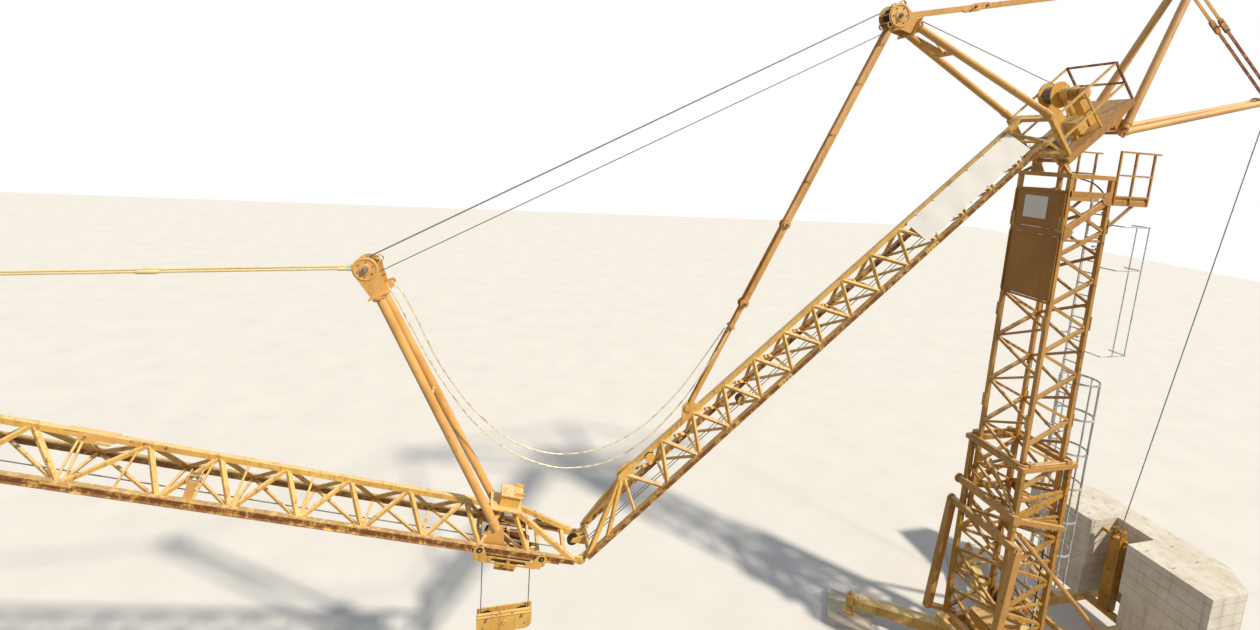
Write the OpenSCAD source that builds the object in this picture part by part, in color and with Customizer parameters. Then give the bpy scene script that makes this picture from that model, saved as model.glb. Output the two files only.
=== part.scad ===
// Self-erecting tower crane caught while its folding jib is being opened.
// Z is up, X runs from the jib (minus) to the ballast (plus), the origin is on the
// ground at the slewing axis. Lengths are millimetres, angles are degrees.

/* [Node] */
// Height of the luffing pivot above the ground
pivot_z = 13315; // [9000:5:18000]
// Distance of the tower centre line in front of the slewing axis
tower_offset = 450; // [0:10:1200]

/* [Tower] */
// Centre distance of the inner tower's corner chords
tower_w = 1207; // [900:1:1800]
// Side of an inner tower chord
tower_chord = 90; // [60:5:160]
// Height of one zigzag bay of the inner tower
tower_bay = 1149; // [800:1:1600]
// Height of the collar at the top of the outer tower
collar_z = 6050; // [4500:10:8000]

/* [Jib] */
// Angle of the inner jib below the horizontal
inner_dip = 42; // [0:0.5:60]
// Angle of the outer jib above the horizontal
outer_rise = 16.73; // [-42:0.01:30]
// Centre distance of the two lower jib chords
jib_w = 875; // [500:5:1500]
// Height of the top chord above the lower chords
jib_h = 574; // [400:2:1200]
// Bay of the inner jib
inner_bay = 842; // [600:1:1400]
// Bay of the outer jib
outer_bay = 1028; // [600:1:1400]
// Number of bays of the outer jib past its section joint
tip_bays = 7; // [2:1:9]
// Side of the lower jib chords
jib_chord = 100; // [60:5:160]

/* [Base] */
// Distance of each support pad from the slewing axis
pad_radius = 3760; // [2500:10:5000]
// Direction of the first outrigger, from plus X
pad_angle = 146.8; // [0:0.1:180]
// Distance from the slewing axis to the front of the ballast
ballast_x = 3200; // [2000:10:4500]
// Height of the ballast's top above the ground
ballast_z = 3400; // [2000:10:5000]
// Half the width over both ballast stacks
ballast_half = 2300; // [1200:10:3000]

/* [Hidden] */

yellow = "#E8B14E";
ochre = "#A8751F";
grey = "#8A8F94";
concrete = "#E6E0D2";
white = "#F2F2EE";

gap = 6;
tower_x = -tower_offset;
half_tower = tower_w / 2;
tower_top = pivot_z - 365;
outer_w = tower_w + 224;
outer_chord = 110;
platform_z = 1050;
lug_x = tower_x - half_tower + 63;
pin_r = 40;
bore_r = pin_r + 1;
axle_r = 35;
groove_depth = 18;
eye_fit = 0.4;
link_pin = 30;

lower_n = 746;
top_n = lower_n + jib_h;
fold_s = 13410;
joint_s = 8440;
tip_top_s = joint_s + 740;
tip_last_s = tip_top_s + tip_bays * outer_bay;
tip_end = tip_last_s + 500;
brace = 64;
lacing = 42;

// A point of the inner jib: s along the jib from the luffing pivot, n square to it
function ip(s, n, y = 0) = [lug_x - s * cos(inner_dip) - n * sin(inner_dip), y,
    pivot_z - s * sin(inner_dip) + n * cos(inner_dip)];

fold = ip(fold_s, lower_n);

// A point of the outer jib: s along the jib from the fold pivot, n square to it
function op(s, n, y = 0) = [fold.x - s * cos(outer_rise) + n * sin(outer_rise), y,
    fold.z + s * sin(outer_rise) + n * cos(outer_rise)];

// Children drawn as (s, y, n) are laid along the inner jib
module in_inner() {
    translate([lug_x, 0, pivot_z])
        rotate([0, -inner_dip, 0])
            mirror([1, 0, 0])
                children();
}

// Children drawn as (s, y, n) are laid along the outer jib
module in_outer() {
    translate(fold)
        rotate([0, outer_rise, 0])
            mirror([1, 0, 0])
                children();
}

// Rectangular bar from a to b: w across, h in the upright plane
module bar(a, b, w, h) {
    d = b - a;
    translate(a)
        rotate([0, acos(d.z / norm(d)), atan2(d.y, d.x)])
            translate([-h / 2, -w / 2, 0])
                cube([h, w, norm(d)]);
}

// Round or few-sided tube from a to b
module tube(a, b, d, sides = 12) {
    v = b - a;
    translate(a)
        rotate([0, acos(v.z / norm(v)), atan2(v.y, v.x)])
            cylinder(d = d, h = norm(v), $fn = sides);
}

// Zigzag of square bars through a list of points
module zigzag(points, w) {
    for (i = [0 : len(points) - 2])
        bar(points[i], points[i + 1], w, w);
}

// Upright plate from y over thickness w, its outline drawn as X and Z
module plate(y, w) {
    translate([0, y + w, 0])
        rotate([90, 0, 0])
            linear_extrude(w)
                children();
}

// Round bar on a Y axis, centred on a point
module pin(p, r, length, sides = 32) {
    translate(p)
        rotate([90, 0, 0])
            cylinder(r = r, h = length, center = true, $fn = sides);
}

// Grooved rope wheel on a Y axle, centred on a point
module sheave(p, r, w, bore) {
    translate(p)
        rotate([90, 0, 0])
            rotate_extrude($fn = 48)
                polygon([[bore, -w / 2], [r, -w / 2], [r, -w * 0.32], [r - groove_depth, -w * 0.28],
                    [r - groove_depth, w * 0.28], [r, w * 0.32], [r, w / 2], [bore, w / 2]]);
}

// Flat bar with an eye at both ends, from a to b in an upright plane
module eye_bar(a, b, y, w, h, hole) {
    d = b - a;
    translate([a.x, 0, a.y])
        rotate([0, -atan2(d.y, d.x), 0])
            plate(y - w / 2, w)
                difference() {
                    union() {
                        translate([0, -h / 2])
                            square([norm(d), h]);
                        for (x = [0, norm(d)])
                            translate([x, 0])
                                circle(r = h * 0.85, $fn = 32);
                    }
                    for (x = [0, norm(d)])
                        translate([x, 0])
                            circle(r = hole, $fn = 32);
                }
}

// Head of a strut, axle on the origin, the strut coming from minus X: two cheeks
// that widen to a round end, a flange where the tubes stop, rope wheels between
module strut_head(r, reach, half, wheels, wheel_r) {
    for (y = [-1, 1])
        plate(y * half - 8, 16)
            union() {
                circle(r = r, $fn = 48);
                polygon([[0, r], [-reach, r * 0.62], [-reach, -r * 0.62], [0, -r]]);
            }
    translate([-reach - 12, -half - 90, -r * 0.8])
        cube([24, 2 * half + 180, r * 1.6]);
    pin([0, 0, 0], axle_r, 2 * half + 70);
    for (y = wheels)
        sheave([0, y, 0], wheel_r, 40, axle_r - 1);
}

// Turns plus X from a towards b, both given as (s, n), with b on the origin
module aimed(a, b) {
    d = b - a;
    translate([b.x, 0, b.y])
        rotate([0, -atan2(d.y, d.x), 0])
            children();
}

// Two legs of a strut, from its feet to the flange of its head
module strut_legs(foot, head, foot_y, head_y, reach, d) {
    along = (head - foot) / norm(head - foot);
    top = head - reach * along;
    for (y = [-1, 1])
        tube([foot.x, y * foot_y, foot.y], [top.x, y * head_y, top.y], d, 16);
}

// Box beam ring around the tower centre line
module square_ring(side, z, w, h) {
    translate([tower_x, 0, z])
        difference() {
            translate([-side / 2 - w / 2, -side / 2 - w / 2, -h / 2])
                cube([side + w, side + w, h]);
            translate([-side / 2 + w / 2, -side / 2 + w / 2, -h])
                cube([side - w, side - w, 2 * h]);
        }
}

module at_outriggers() {
    for (k = [0 : 3])
        rotate(pad_angle + 90 * k)
            children();
}

pad_side = 1200;
pad_h = 160;

module support_pads() color(concrete)
    at_outriggers()
        translate([pad_radius - pad_side / 2, -pad_side / 2, 0])
            cube([pad_side, pad_side, pad_h]);

sleeve_x = pad_radius - 210;
screw_r = 61.5;

// Tapered box arm with a screw jack and its foot at the end
module outrigger() {
    translate([0, 150, 0])
        rotate([90, 0, 0])
            linear_extrude(300)
                polygon([[300, 300], [1500, 300], [sleeve_x, 420], [sleeve_x, 620],
                    [1500, 640], [300, 640]]);
    translate([pad_radius, 0, 400])
        difference() {
            cylinder(r = 120, h = 260, $fn = 32);
            translate([0, 0, -1])
                cylinder(r = screw_r + 0.5, h = 262, $fn = 32);
        }
    translate([sleeve_x - 10, -90, 420])
        cube([110, 180, 180]);
}

module screw_jack() {
    translate([pad_radius, 0, pad_h]) {
        cylinder(r = 210, h = 30, $fn = 32);
        cylinder(r = 100, h = 110, $fn = 32);
        cylinder(r = screw_r, h = 560, $fn = 32);
        translate([0, 0, 560])
            cylinder(r = 45, h = 50, $fn = 6);
    }
}

module undercarriage() color(yellow) {
    translate([0, 0, 290])
        cylinder(r = 820, h = 350, $fn = 48);
    at_outriggers() {
        outrigger();
        screw_jack();
    }
}

ring_r = 700;
ring_teeth = 72;

// Toothed ring that the slewing part turns on
module slew_ring() color(grey)
    translate([0, 0, 640])
        linear_extrude(90)
            difference() {
                union() {
                    circle(r = ring_r - 32, $fn = 96);
                    for (k = [0 : ring_teeth - 1])
                        rotate(360 * k / ring_teeth)
                            polygon([[ring_r - 40, -19], [ring_r, -9], [ring_r, 9], [ring_r - 40, 19]]);
                }
                circle(r = ring_r - 150, $fn = 96);
            }

beam_y = 620;
beam_end = 5000;

module slewing_platform() color(yellow) {
    translate([0, 0, 730 + gap])
        difference() {
            cylinder(r = ring_r - 40, h = 90, $fn = 48);
            translate([0, 0, -1])
                cylinder(r = ring_r - 160, h = 92, $fn = 48);
        }
    for (y = [-1, 1])
        plate(y * beam_y - 90, 180)
            polygon([[-1500, 880], [-900, 800], [beam_end - 900, 800], [beam_end, 900],
                [beam_end, platform_z], [-1500, platform_z]]);
    for (x = [-1500, -1150, 100, 1500, 3510, beam_end - 180])
        translate([x, -beam_y + 20, 880])
            cube([160, 2 * beam_y - 40, 150]);
    translate([-900, -540, 810])
        cube([1800, 1080, 70]);
    translate([-560, 330, 880])
        cylinder(r = 120, h = 420, $fn = 32);
}

slab_h = 300;
slab_w = 340;
groove = 8;
foot_top = 2000;

// One stack: a wide upper part with a cut rear corner over a narrower foot, with the
// joints of its slabs as grooves
module ballast_stack() {
    rear = ballast_x + 1830;
    difference() {
        union() {
            translate([0, 0, foot_top])
                linear_extrude(ballast_z - foot_top)
                    polygon([[ballast_x, 460], [rear, 460], [rear, ballast_half - 700],
                        [ballast_x + 1200, ballast_half], [ballast_x, ballast_half]]);
            translate([ballast_x + 40, 520, platform_z])
                cube([1700, ballast_half - 1000, foot_top - platform_z]);
        }
        for (z = [foot_top + slab_h : slab_h : ballast_z - 100]) {
            translate([ballast_x - 1, 400, z])
                cube([groove + 1, ballast_half, groove]);
            translate([ballast_x, 460 - 1, z])
                cube([1831, groove + 1, groove]);
            translate([ballast_x, ballast_half - groove, z])
                cube([1200, groove + 1, groove]);
            translate([rear - groove, 400, z])
                cube([groove + 1, ballast_half, groove]);
        }
        for (y = [460 + slab_w : slab_w : ballast_half - 100])
            translate([ballast_x - 1, y, foot_top - 1])
                cube([groove + 1, groove, ballast_z]);
    }
}

module ballast_far() color(concrete) ballast_stack();

module ballast_near() color(concrete) mirror([0, 1, 0]) ballast_stack();

module ballast_middle() color(concrete)
    difference() {
        translate([ballast_x + 960, -460, platform_z])
            cube([870, 920, ballast_z - platform_z]);
        for (z = [foot_top - 2 * slab_h : slab_h : ballast_z - 100])
            translate([ballast_x + 959, -500, z])
                cube([groove + 1, 1000, groove]);
    }

post_x = 3600;
post_top = [post_x, 0, ballast_z - 40];

module ballast_post() color(ochre) {
    translate([post_x - 140, -140, 1030])
        cube([280, 280, post_top.z - 1240]);
    for (y = [-110, 110])
        plate(y - 15, 30)
            polygon([[post_x - 150, post_top.z - 320], [post_x - 110, post_top.z + 80],
                [post_x + 70, post_top.z + 80], [post_x + 150, post_top.z - 320]]);
    pin(post_top, axle_r, 290);
    sheave(post_top + [0, 70, 0], 110, 40, axle_r - 1);
    for (y = [-1, 1])
        bar([post_x, y * 100, ballast_z - 270], [post_x + 60, y * 455, ballast_z - 270], 60, 90);
}

outer_bay_z = 1190;
outer_face_z = platform_z + 120;

module outer_chords(x) {
    for (y = [-1, 1])
        bar([tower_x + x * outer_w / 2, y * outer_w / 2, platform_z],
            [tower_x + x * outer_w / 2, y * outer_w / 2, collar_z], outer_chord, outer_chord);
}

// A point on an outer tower chord, c gives the signs of x and y
function outer_corner(c, z) = [tower_x + c.x * outer_w / 2, c.y * outer_w / 2, z];

// Zigzag and cross bars between two outer corners
module outer_face(a, b) {
    zigzag([for (k = [0 : 3], c = [0, 1])
        outer_corner(c == 0 ? a : b, outer_face_z + (k + c / 2) * outer_bay_z)], 70);
    for (k = [1, 2, 3])
        bar(outer_corner(a, outer_face_z + k * outer_bay_z),
            outer_corner(b, outer_face_z + k * outer_bay_z), 50, 50);
}

module outer_tower_front() color(ochre) {
    outer_chords(-1);
    outer_face([-1, -1], [-1, 1]);
    bar(outer_corner([-1, -1], collar_z - 900), outer_corner([-1, 1], collar_z - 60), 60, 80);
}

module outer_tower_rear() color(ochre) {
    outer_chords(1);
    outer_face([1, 1], [1, -1]);
}

// Side face of the outer tower, with the fan of bars under the collar
module outer_side_face(y) {
    outer_face([-1, y], [1, y]);
    bar(outer_corner([-1, y], 4870), outer_corner([1, y], 5330), 60, 90);
    bar(outer_corner([-1, y], 5260), outer_corner([1, y], 5410), 52, 60);
    bar(outer_corner([-1, y], 4790), outer_corner([1, y], 4560), 64, 110);
}

module outer_tower_near() color(ochre) outer_side_face(-1);

module outer_tower_far() color(ochre) outer_side_face(1);

module tower_collar() color(yellow) {
    square_ring(outer_w + 30, collar_z + 60, 200, 120);
    for (x = [-1, 1], y = [-1, 1])
        translate([tower_x + x * 560 - 70, y * 760 - 70, collar_z + 110])
            cube([140, 140, 90]);
}

frame_x = tower_x - outer_w / 2 - 90;
beam_low = 4200;
beam_high = 4880;

module erection_frame() color(yellow) {
    bar([frame_x, -1040, beam_low], [frame_x, 1040, beam_low], 130, 170);
    bar([frame_x, -880, beam_high], [frame_x, 880, beam_high], 130, 170);
    for (y = [-1, 1]) {
        bar([frame_x, y * 970, beam_low], [frame_x - 300, y * 970, platform_z - 20], 150, 190);
        bar([frame_x - 60, y * 970, beam_low - 120], [frame_x - 190, y * 970, 2900], 60, 80);
        bar([frame_x, y * 830, beam_high], [tower_x + outer_w / 2, y * 830, beam_high - 400], 90, 120);
        bar([frame_x - 300, y * 970, platform_z + 50], [tower_x - 500, y * beam_y, platform_z + 50], 120, 100);
        plate(y * 1000 - 20, 40)
            translate([frame_x, beam_low])
                circle(r = 130, $fn = 32);
        plate(y * 860 - 20, 40)
            translate([frame_x, beam_high])
                circle(r = 125, $fn = 32);
    }
}

drum_at = [500, 300, 1420];

module base_winch() color(yellow) {
    pin(drum_at, 230, 560);
    for (y = [-280, 280])
        pin(drum_at + [0, y, 0], 330, 30);
    for (y = [-305, 305])
        plate(drum_at.y + y - 12, 24)
            polygon([[drum_at.x - 240, platform_z - 20], [drum_at.x - 90, drum_at.z + 110],
                [drum_at.x + 90, drum_at.z + 110], [drum_at.x + 240, platform_z - 20]]);
    for (a = [drum_at.x - 230, drum_at.x + 130])
        translate([a, drum_at.y - 330, platform_z - 20])
            cube([100, 660, 30]);
}

cabinet = [880, 690, 550];
cabinet_at = [-860, -420, 950];

module control_cabinet() color(yellow) {
    translate(cabinet_at)
        cube(cabinet);
    translate(cabinet_at + [-25, -25, cabinet.z])
        cube([cabinet.x + 50, cabinet.y + 50, 20]);
    translate(cabinet_at + [-14, 60, 60])
        cube([20, cabinet.y - 120, cabinet.z - 120]);
}

module base_braces() color(yellow)
    for (y = [-1, 1])
        tube([frame_x + 260, y * (outer_w / 2 + 59.5), 4420], [2500, y * beam_y, platform_z - 40], 120, 16);

ladder_x = tower_x + half_tower + 260;
ladder_y = -240;
ladder_half = 180;
ladder_top = pivot_z - 755;

module ladder() color(grey) {
    for (y = [-1, 1])
        bar([ladder_x, ladder_y + y * ladder_half, 1330],
            [ladder_x, ladder_y + y * ladder_half, ladder_top], 25, 60);
    for (z = [1500 : 280 : ladder_top - 150])
        bar([ladder_x, ladder_y - ladder_half, z], [ladder_x, ladder_y + ladder_half, z], 28, 28);
    for (z = [6800, 9200, 11400], y = [-1, 1])
        bar([tower_x + half_tower, ladder_y + y * ladder_half, z],
            [ladder_x, ladder_y + y * ladder_half, z], 25, 40);
    for (z = [2000, 4500], y = [-1, 1])
        bar([tower_x + outer_w / 2 + 50, ladder_y + y * ladder_half, z],
            [ladder_x, ladder_y + y * ladder_half, z], 25, 40);
}

cage_r = 420;
cage_x = ladder_x + 365;
cage_low = 2600;
cage_high = 8000;

// Hoops around the ladder, open towards it, on upright strips
module safety_cage() color(grey) {
    for (z = [cage_low : 900 : cage_high])
        translate([cage_x, ladder_y, z])
            difference() {
                cylinder(r = cage_r, h = 50, $fn = 32);
                translate([0, 0, -10])
                    cylinder(r = cage_r - 14, h = 70, $fn = 32);
                translate([ladder_x + 20 - cage_x - 500, -500, -10])
                    cube([500, 1000, 70]);
            }
    for (a = [-110, -70, -35, 0, 35, 70, 110])
        translate([cage_x + (cage_r - 7) * cos(a), ladder_y + (cage_r - 7) * sin(a), cage_low])
            translate([-12, -12, 0])
                cube([24, 24, cage_high - cage_low + 50]);
    for (z = [cage_low, cage_high - 900], y = [-1, 1])
        bar([ladder_x + 32, ladder_y + y * ladder_half, z + 25],
            [cage_x - 200, ladder_y + y * (cage_r - 60), z + 25], 20, 40);
}

inner_bottom = 3900;
node_z = pivot_z - 3840;

module inner_chords(x) {
    for (y = [-1, 1])
        bar([tower_x + x * half_tower, y * half_tower, inner_bottom],
            [tower_x + x * half_tower, y * half_tower, tower_top], tower_chord, tower_chord);
}

// A point on an inner tower chord, c gives the signs of x and y
function inner_corner(c, z) = [tower_x + c.x * half_tower, c.y * half_tower, z];

// Zigzag between two inner corners, a with the lower nodes
module inner_face(a, b, w = 56) {
    zigzag([for (k = [-4 : 2], c = [0, 1])
        inner_corner(c == 0 ? a : b, node_z + (k + c * 0.5) * tower_bay)], w);
}

module inner_tower_front() color(yellow) {
    inner_chords(-1);
    inner_face([-1, -1], [-1, 1]);
}

module inner_tower_rear() color(yellow) {
    inner_chords(1);
    inner_face([1, 1], [1, -1]);
}

head_beam_z = tower_top - 350;

// Side face of the inner tower: zigzag, a cross bar, the head's braces and its box beam
module inner_side_face(y) {
    inner_face([1, y], [-1, y], 64);
    bar(inner_corner([-1, y], tower_top - 1400), inner_corner([1, y], tower_top - 1400), 50, 50);
    bar(inner_corner([-1, y], head_beam_z), inner_corner([1, y], head_beam_z), 90, 130);
}

module inner_tower_near() color(yellow) inner_side_face(-1);

module inner_tower_far() color(yellow) inner_side_face(1);

panel_x = tower_x - half_tower - tower_chord / 2;
panel_half = half_tower + 22;

module front_panels() color(ochre)
    for (z = [[pivot_z - 3195, 1490], [pivot_z - 1545, 850]]) {
        translate([panel_x - 16, -panel_half, z[0]])
            cube([16, 2 * panel_half, z[1]]);
        for (y = [-panel_half, panel_half - 30])
            translate([panel_x - 46, y, z[0]])
                cube([30, 30, z[1]]);
    }

module sign_plate() color(white)
    translate([panel_x - 28, -220, pivot_z - 1345])
        cube([12, 570, 520]);

lug_y = 330;

module tower_head() color(yellow) {
    square_ring(tower_w, tower_top + 50, 110, 100);
    for (y = [-1, 1]) {
        plate(y * lug_y - 20, 40)
            union() {
                translate([lug_x, pivot_z])
                    circle(r = 95, $fn = 32);
                polygon([[lug_x - 95, pivot_z], [lug_x - 110, tower_top + 20],
                    [lug_x + 330, tower_top + 20], [lug_x + 95, pivot_z]]);
            }
        translate([tower_x - half_tower, y * lug_y - 45, tower_top + 15])
            cube([tower_w, 90, 70]);
        bar(inner_corner([-1, y], tower_top + 60), [lug_x + 40, y * (lug_y + 15), pivot_z - 110], 60, 60);
    }
    pin([lug_x, 0, pivot_z], pin_r, 2 * lug_y + 90);
}

deck_x = tower_x + half_tower + 60;
deck_end = 1300;
deck_z = tower_top - 470;
deck_half = half_tower + 46.5;
rail_h = 1130;

// One side gallery, its middle left open for the struts when the jib is level
module gallery() {
    translate([deck_x, deck_half - 210, deck_z])
        cube([deck_end - deck_x, 210, 30]);
    for (y = [deck_half - 195, deck_half - 25])
        bar([tower_x + half_tower + 20, y, deck_z - 45], [deck_end, y, deck_z - 45], 50, 90);
    bar([tower_x + half_tower, deck_half - 60, deck_z - 700], [deck_end - 350, deck_half - 60, deck_z - 60], 50, 50);
    for (x = [deck_x + 30, 720, deck_end - 25])
        bar([x, deck_half, deck_z - 60], [x, deck_half, deck_z + rail_h], 40, 40);
    for (z = [120, rail_h / 2 + 40, rail_h])
        bar([deck_x + 10, deck_half, deck_z + z], [deck_end + (z == rail_h ? 150 : 0), deck_half, deck_z + z], 40, 40);
}

module service_platform() color(yellow) {
    gallery();
    mirror([0, 1, 0])
        gallery();
}

root_y = 500;
lug_plate_y = 270;

module jib_root_frame() color(yellow) in_inner() {
    for (y = [-1, 1]) {
        bar([0, y * root_y, 60], [-38, y * root_y, 1250], 90, 120);
        bar([-20, y * root_y, lower_n], [260, y * (jib_w / 2), lower_n], 80, 90);
        bar([-30, y * root_y, 1150], [200, 0, top_n], 70, 90);
        bar([20, y * root_y, 200], [240, y * (jib_w / 2), lower_n - 20], 60, 60);
        difference() {
            plate(y * lug_plate_y - 25, 50)
                union() {
                    circle(r = 110, $fn = 32);
                    polygon([[0, -110], [0, 110], [-60, 200], [140, 270], [170, 130]]);
                }
            pin([0, y * lug_plate_y, 0], bore_r, 120);
        }
    }
    bar([30, -root_y, 200], [30, root_y, 200], 110, 140);
    bar([-36, -root_y, 1200], [-36, root_y, 1200], 70, 90);
}

platform_end = -2030;
channel_y = 550;

module winch_platform() color(yellow) in_inner() {
    for (y = [-1, 1]) {
        plate(y * channel_y - 30, 60)
            polygon([[130, 40], [130, 190], [platform_end, 190], [platform_end, 60], [-1450, 0]]);
        plate(y * 400 - 20, 40)
            polygon([[-1440, 110], [-1480, -330], [-1560, -560], [-1720, -560], [-1740, -200],
                [-1700, 110]]);
    }
    for (s = [-700, -1400, platform_end + 40])
        bar([s, -channel_y, 110], [s, channel_y, 110], 90, 80);
    translate([platform_end, -530, 165])
        cube([-platform_end - 60, 1060, 14]);
    pin([-1600, 0, -330], axle_r, 1100);
    pin([-1640, 0, -480], axle_r, 900);
}

// Rails with posts on both sides and a taller end frame
module platform_railing() color(yellow) in_inner() {
    for (y = [-1, 1]) {
        for (n = [620, 1150])
            bar([10, y * channel_y, n], [platform_end, y * channel_y, n], 40, 40);
        for (s = [10, -1000, platform_end])
            bar([s, y * channel_y, 180], [s, y * channel_y, 1170], 40, 40);
    }
    for (n = [620, 1150])
        bar([platform_end, -channel_y, n], [platform_end, channel_y, n], 40, 40);
}

winch_at = [-1150, 300, 1010];
winch_half = 150;

module unfolding_winch() color(yellow) in_inner() {
    pin(winch_at, 165, 2 * winch_half);
    for (y = [-winch_half, winch_half])
        pin(winch_at + [0, y, 0], 300, 26);
    pin(winch_at + [0, -20, 0], 50, 2 * winch_half + 220);
    for (y = [-winch_half - 75, winch_half + 40])
        plate(winch_at.y + y - 12, 24)
            polygon([[winch_at.x - 70, winch_at.z + 70], [winch_at.x + 70, winch_at.z + 70],
                [winch_at.x + 200, 178], [winch_at.x - 200, 178]]);
}

// Gearbox and motor in line with the drum, a cabinet and a second motor in front
module winch_motor() color(yellow) in_inner() {
    pin(winch_at + [0, -330, 0], 150, 180);
    pin(winch_at + [0, -540, 0], 115, 260);
    pin(winch_at + [0, -700, 0], 130, 70);
    translate([winch_at.x - 100, winch_at.y - 600, 178])
        cube([200, 200, winch_at.z - 270]);
    translate([-790, -480, 330])
        cube([260, 330, 330]);
    for (s = [-770, -590])
        translate([s, -340, 178])
            cube([40, 60, 160]);
    pin([-330, 60, 290], 95, 720);
    for (y = [-180, 300])
        translate([-410, y - 25, 178])
            cube([160, 50, 90]);
}

inner_tops = [for (k = [0 : 12]) 674 + k * inner_bay];
inner_lows = [for (k = [0 : 13]) 253 + k * inner_bay];
inner_top_end = 11800;
pendant_s = 9940;
pendant_n = top_n + 150;
strap_n = pendant_n + 60;

// Lacing of one side of the inner jib, its lower chord and the end bars at the fold
module inner_side(y) {
    zigzag([for (k = [0 : 12], c = [0, 1])
        c == 0 ? [inner_lows[k], y, lower_n] : [inner_tops[k], 0, top_n]], brace);
    bar([inner_tops[12], 0, top_n], [inner_lows[13], y, lower_n], brace, brace);
    bar([inner_top_end, 0, top_n], [inner_lows[13] + 70, y, lower_n], brace - 8, brace - 8);
    bar([inner_top_end, 0, top_n], [12040, y, lower_n], 48, 48);
    bar([inner_top_end, 0, top_n], [12760, y, lower_n], brace + 6, brace + 6);
    bar([inner_top_end + 60, 0, top_n - 20], [fold_s - 210, y, lower_n + 30], 84, 84);
    bar([200, y, lower_n], [fold_s - 150, y, lower_n], jib_chord, jib_chord);
}

module inner_jib_near() color(yellow) in_inner() {
    inner_side(-jib_w / 2);
    bar([150, 0, top_n], [inner_top_end, 0, top_n], 95, 95);
    for (y = [-75, 75])
        plate(y - 8, 16)
            polygon([[inner_top_end - 300, top_n - 40], [inner_top_end - 260, top_n + 90],
                [inner_top_end + 60, top_n + 90], [inner_top_end + 170, top_n - 60],
                [inner_top_end + 40, top_n - 150]]);
    plate(-18, 36)
        polygon([[pendant_s - 260, top_n], [pendant_s - 70, strap_n + 40], [pendant_s + 70, strap_n + 40],
            [pendant_s + 280, top_n]]);
    pin([pendant_s, 0, pendant_n], link_pin, 110);
}

module inner_jib_far() color(yellow) in_inner() inner_side(jib_w / 2);

roller_r = 110;

// Cross bars and lacing under the inner jib, the fold pins and two rope rollers
module inner_jib_bottom() color(yellow) in_inner() {
    half = jib_w / 2;
    for (k = [0 : 13])
        bar([inner_lows[k], -half, lower_n], [inner_lows[k], half, lower_n], lacing + 6, lacing + 6);
    for (k = [0 : 12])
        bar([inner_lows[k], -half, lower_n], [inner_lows[k + 1], half, lower_n], lacing, lacing);
    bar([fold_s - 200, -half, lower_n], [fold_s - 200, half, lower_n], 70, 70);
    for (y = [-1, 1]) {
        plate(y * 340 - 20, 40)
            union() {
                translate([fold_s, lower_n])
                    circle(r = 75, $fn = 32);
                polygon([[fold_s - 280, lower_n - 45], [fold_s - 280, lower_n + 45],
                    [fold_s, lower_n + 75], [fold_s, lower_n - 75]]);
            }
        pin([fold_s, y * 375, lower_n], pin_r, 110);
    }
    for (y = [-60, 40])
        plate(y, 20)
            polygon([[fold_s - 235, lower_n - 20], [fold_s - 235, lower_n + 140],
                [fold_s - 40, lower_n + 260], [fold_s + 40, lower_n + 240], [fold_s - 130, lower_n - 20]]);
    pin([fold_s - 10, 0, lower_n + 215], 25, 150);
    sheave([fold_s - 10, 0, lower_n + 215], roller_r, 60, 24);
}

banner_from = 680;
banner_len = 3140;
banner_w = 570;
banner_up = 40;
face_tilt = atan2(jib_w / 2, jib_h);

// Sheet on the near face of the jib, tilted with it
module banner() color(white) in_inner()
    translate([banner_from, -jib_w / 4, lower_n + jib_h / 2])
        rotate([-face_tilt, 0, 0])
            translate([0, -brace / 2 - 12, banner_up - banner_w / 2])
                cube([banner_len, 12, banner_w]);

strut_a_foot = [-38, 1240];
strut_a_head = [1660, 5030];
strut_a_reach = 430;
front_wheel_r = 205;

module front_strut() color(yellow) in_inner() {
    strut_legs(strut_a_foot, strut_a_head, root_y, 215, strut_a_reach, 150);
    aimed(strut_a_foot, strut_a_head)
        strut_head(250, strut_a_reach, 160, [-50, 0, 50], front_wheel_r);
    bar([1090, -310, 3740], [1090, 310, 3740], 90, 110);
    for (y = [-1, 1])
        bar([1090, y * 40, 3740], [1330, y * 225, 4330], 16, 130);
}

strut_b_foot = [-1600, -330];
strut_b_head = [-5350, 1120];
strut_c_foot = [-1640, -480];
strut_c_head = [-6450, -3160];

module middle_strut() color(yellow) in_inner() {
    strut_legs(strut_b_foot, strut_b_head, 485, 190, 300, 170);
    aimed(strut_b_foot, strut_b_head)
        strut_head(150, 300, 150, [-40, 40], 110);
}

module rear_strut() color(yellow) in_inner() {
    strut_legs(strut_c_foot, strut_c_head, 330, 150, 260, 150);
    aimed(strut_c_foot, strut_c_head)
        strut_head(120, 260, 120, [0], 90);
}

pendant_foot = [pendant_s, pendant_n];
coupling_1 = strut_a_head + 0.528 * (pendant_foot - strut_a_head);
coupling_2 = strut_a_head + 0.73 * (pendant_foot - strut_a_head);
equaliser = strut_a_head + 0.79 * (pendant_foot - strut_a_head);

// Eye bars from head to head and down to the jib, pinned together in pairs
module upper_pendants() color(yellow) in_inner() {
    for (y = [-1, 1]) {
        eye_bar(strut_a_head, coupling_1, y * 95, 18, 90, axle_r + eye_fit);
        eye_bar(coupling_2, pendant_foot, y * 40, 18, 90, link_pin + eye_fit);
        eye_bar(strut_a_head, strut_b_head, y * 120, 18, 90, axle_r + eye_fit);
        eye_bar(strut_b_head, strut_c_head, y * 88, 18, 80, axle_r + eye_fit);
    }
    for (y = [-1, 1])
        eye_bar(coupling_1, coupling_2, y * 68, 18, 110, link_pin - 5);
    for (p = [coupling_1, coupling_2])
        pin([p.x, 0, p.y], link_pin, 240);
    bar([equaliser.x, -140, equaliser.y], [equaliser.x, 140, equaliser.y], 60, 60);
}

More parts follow.
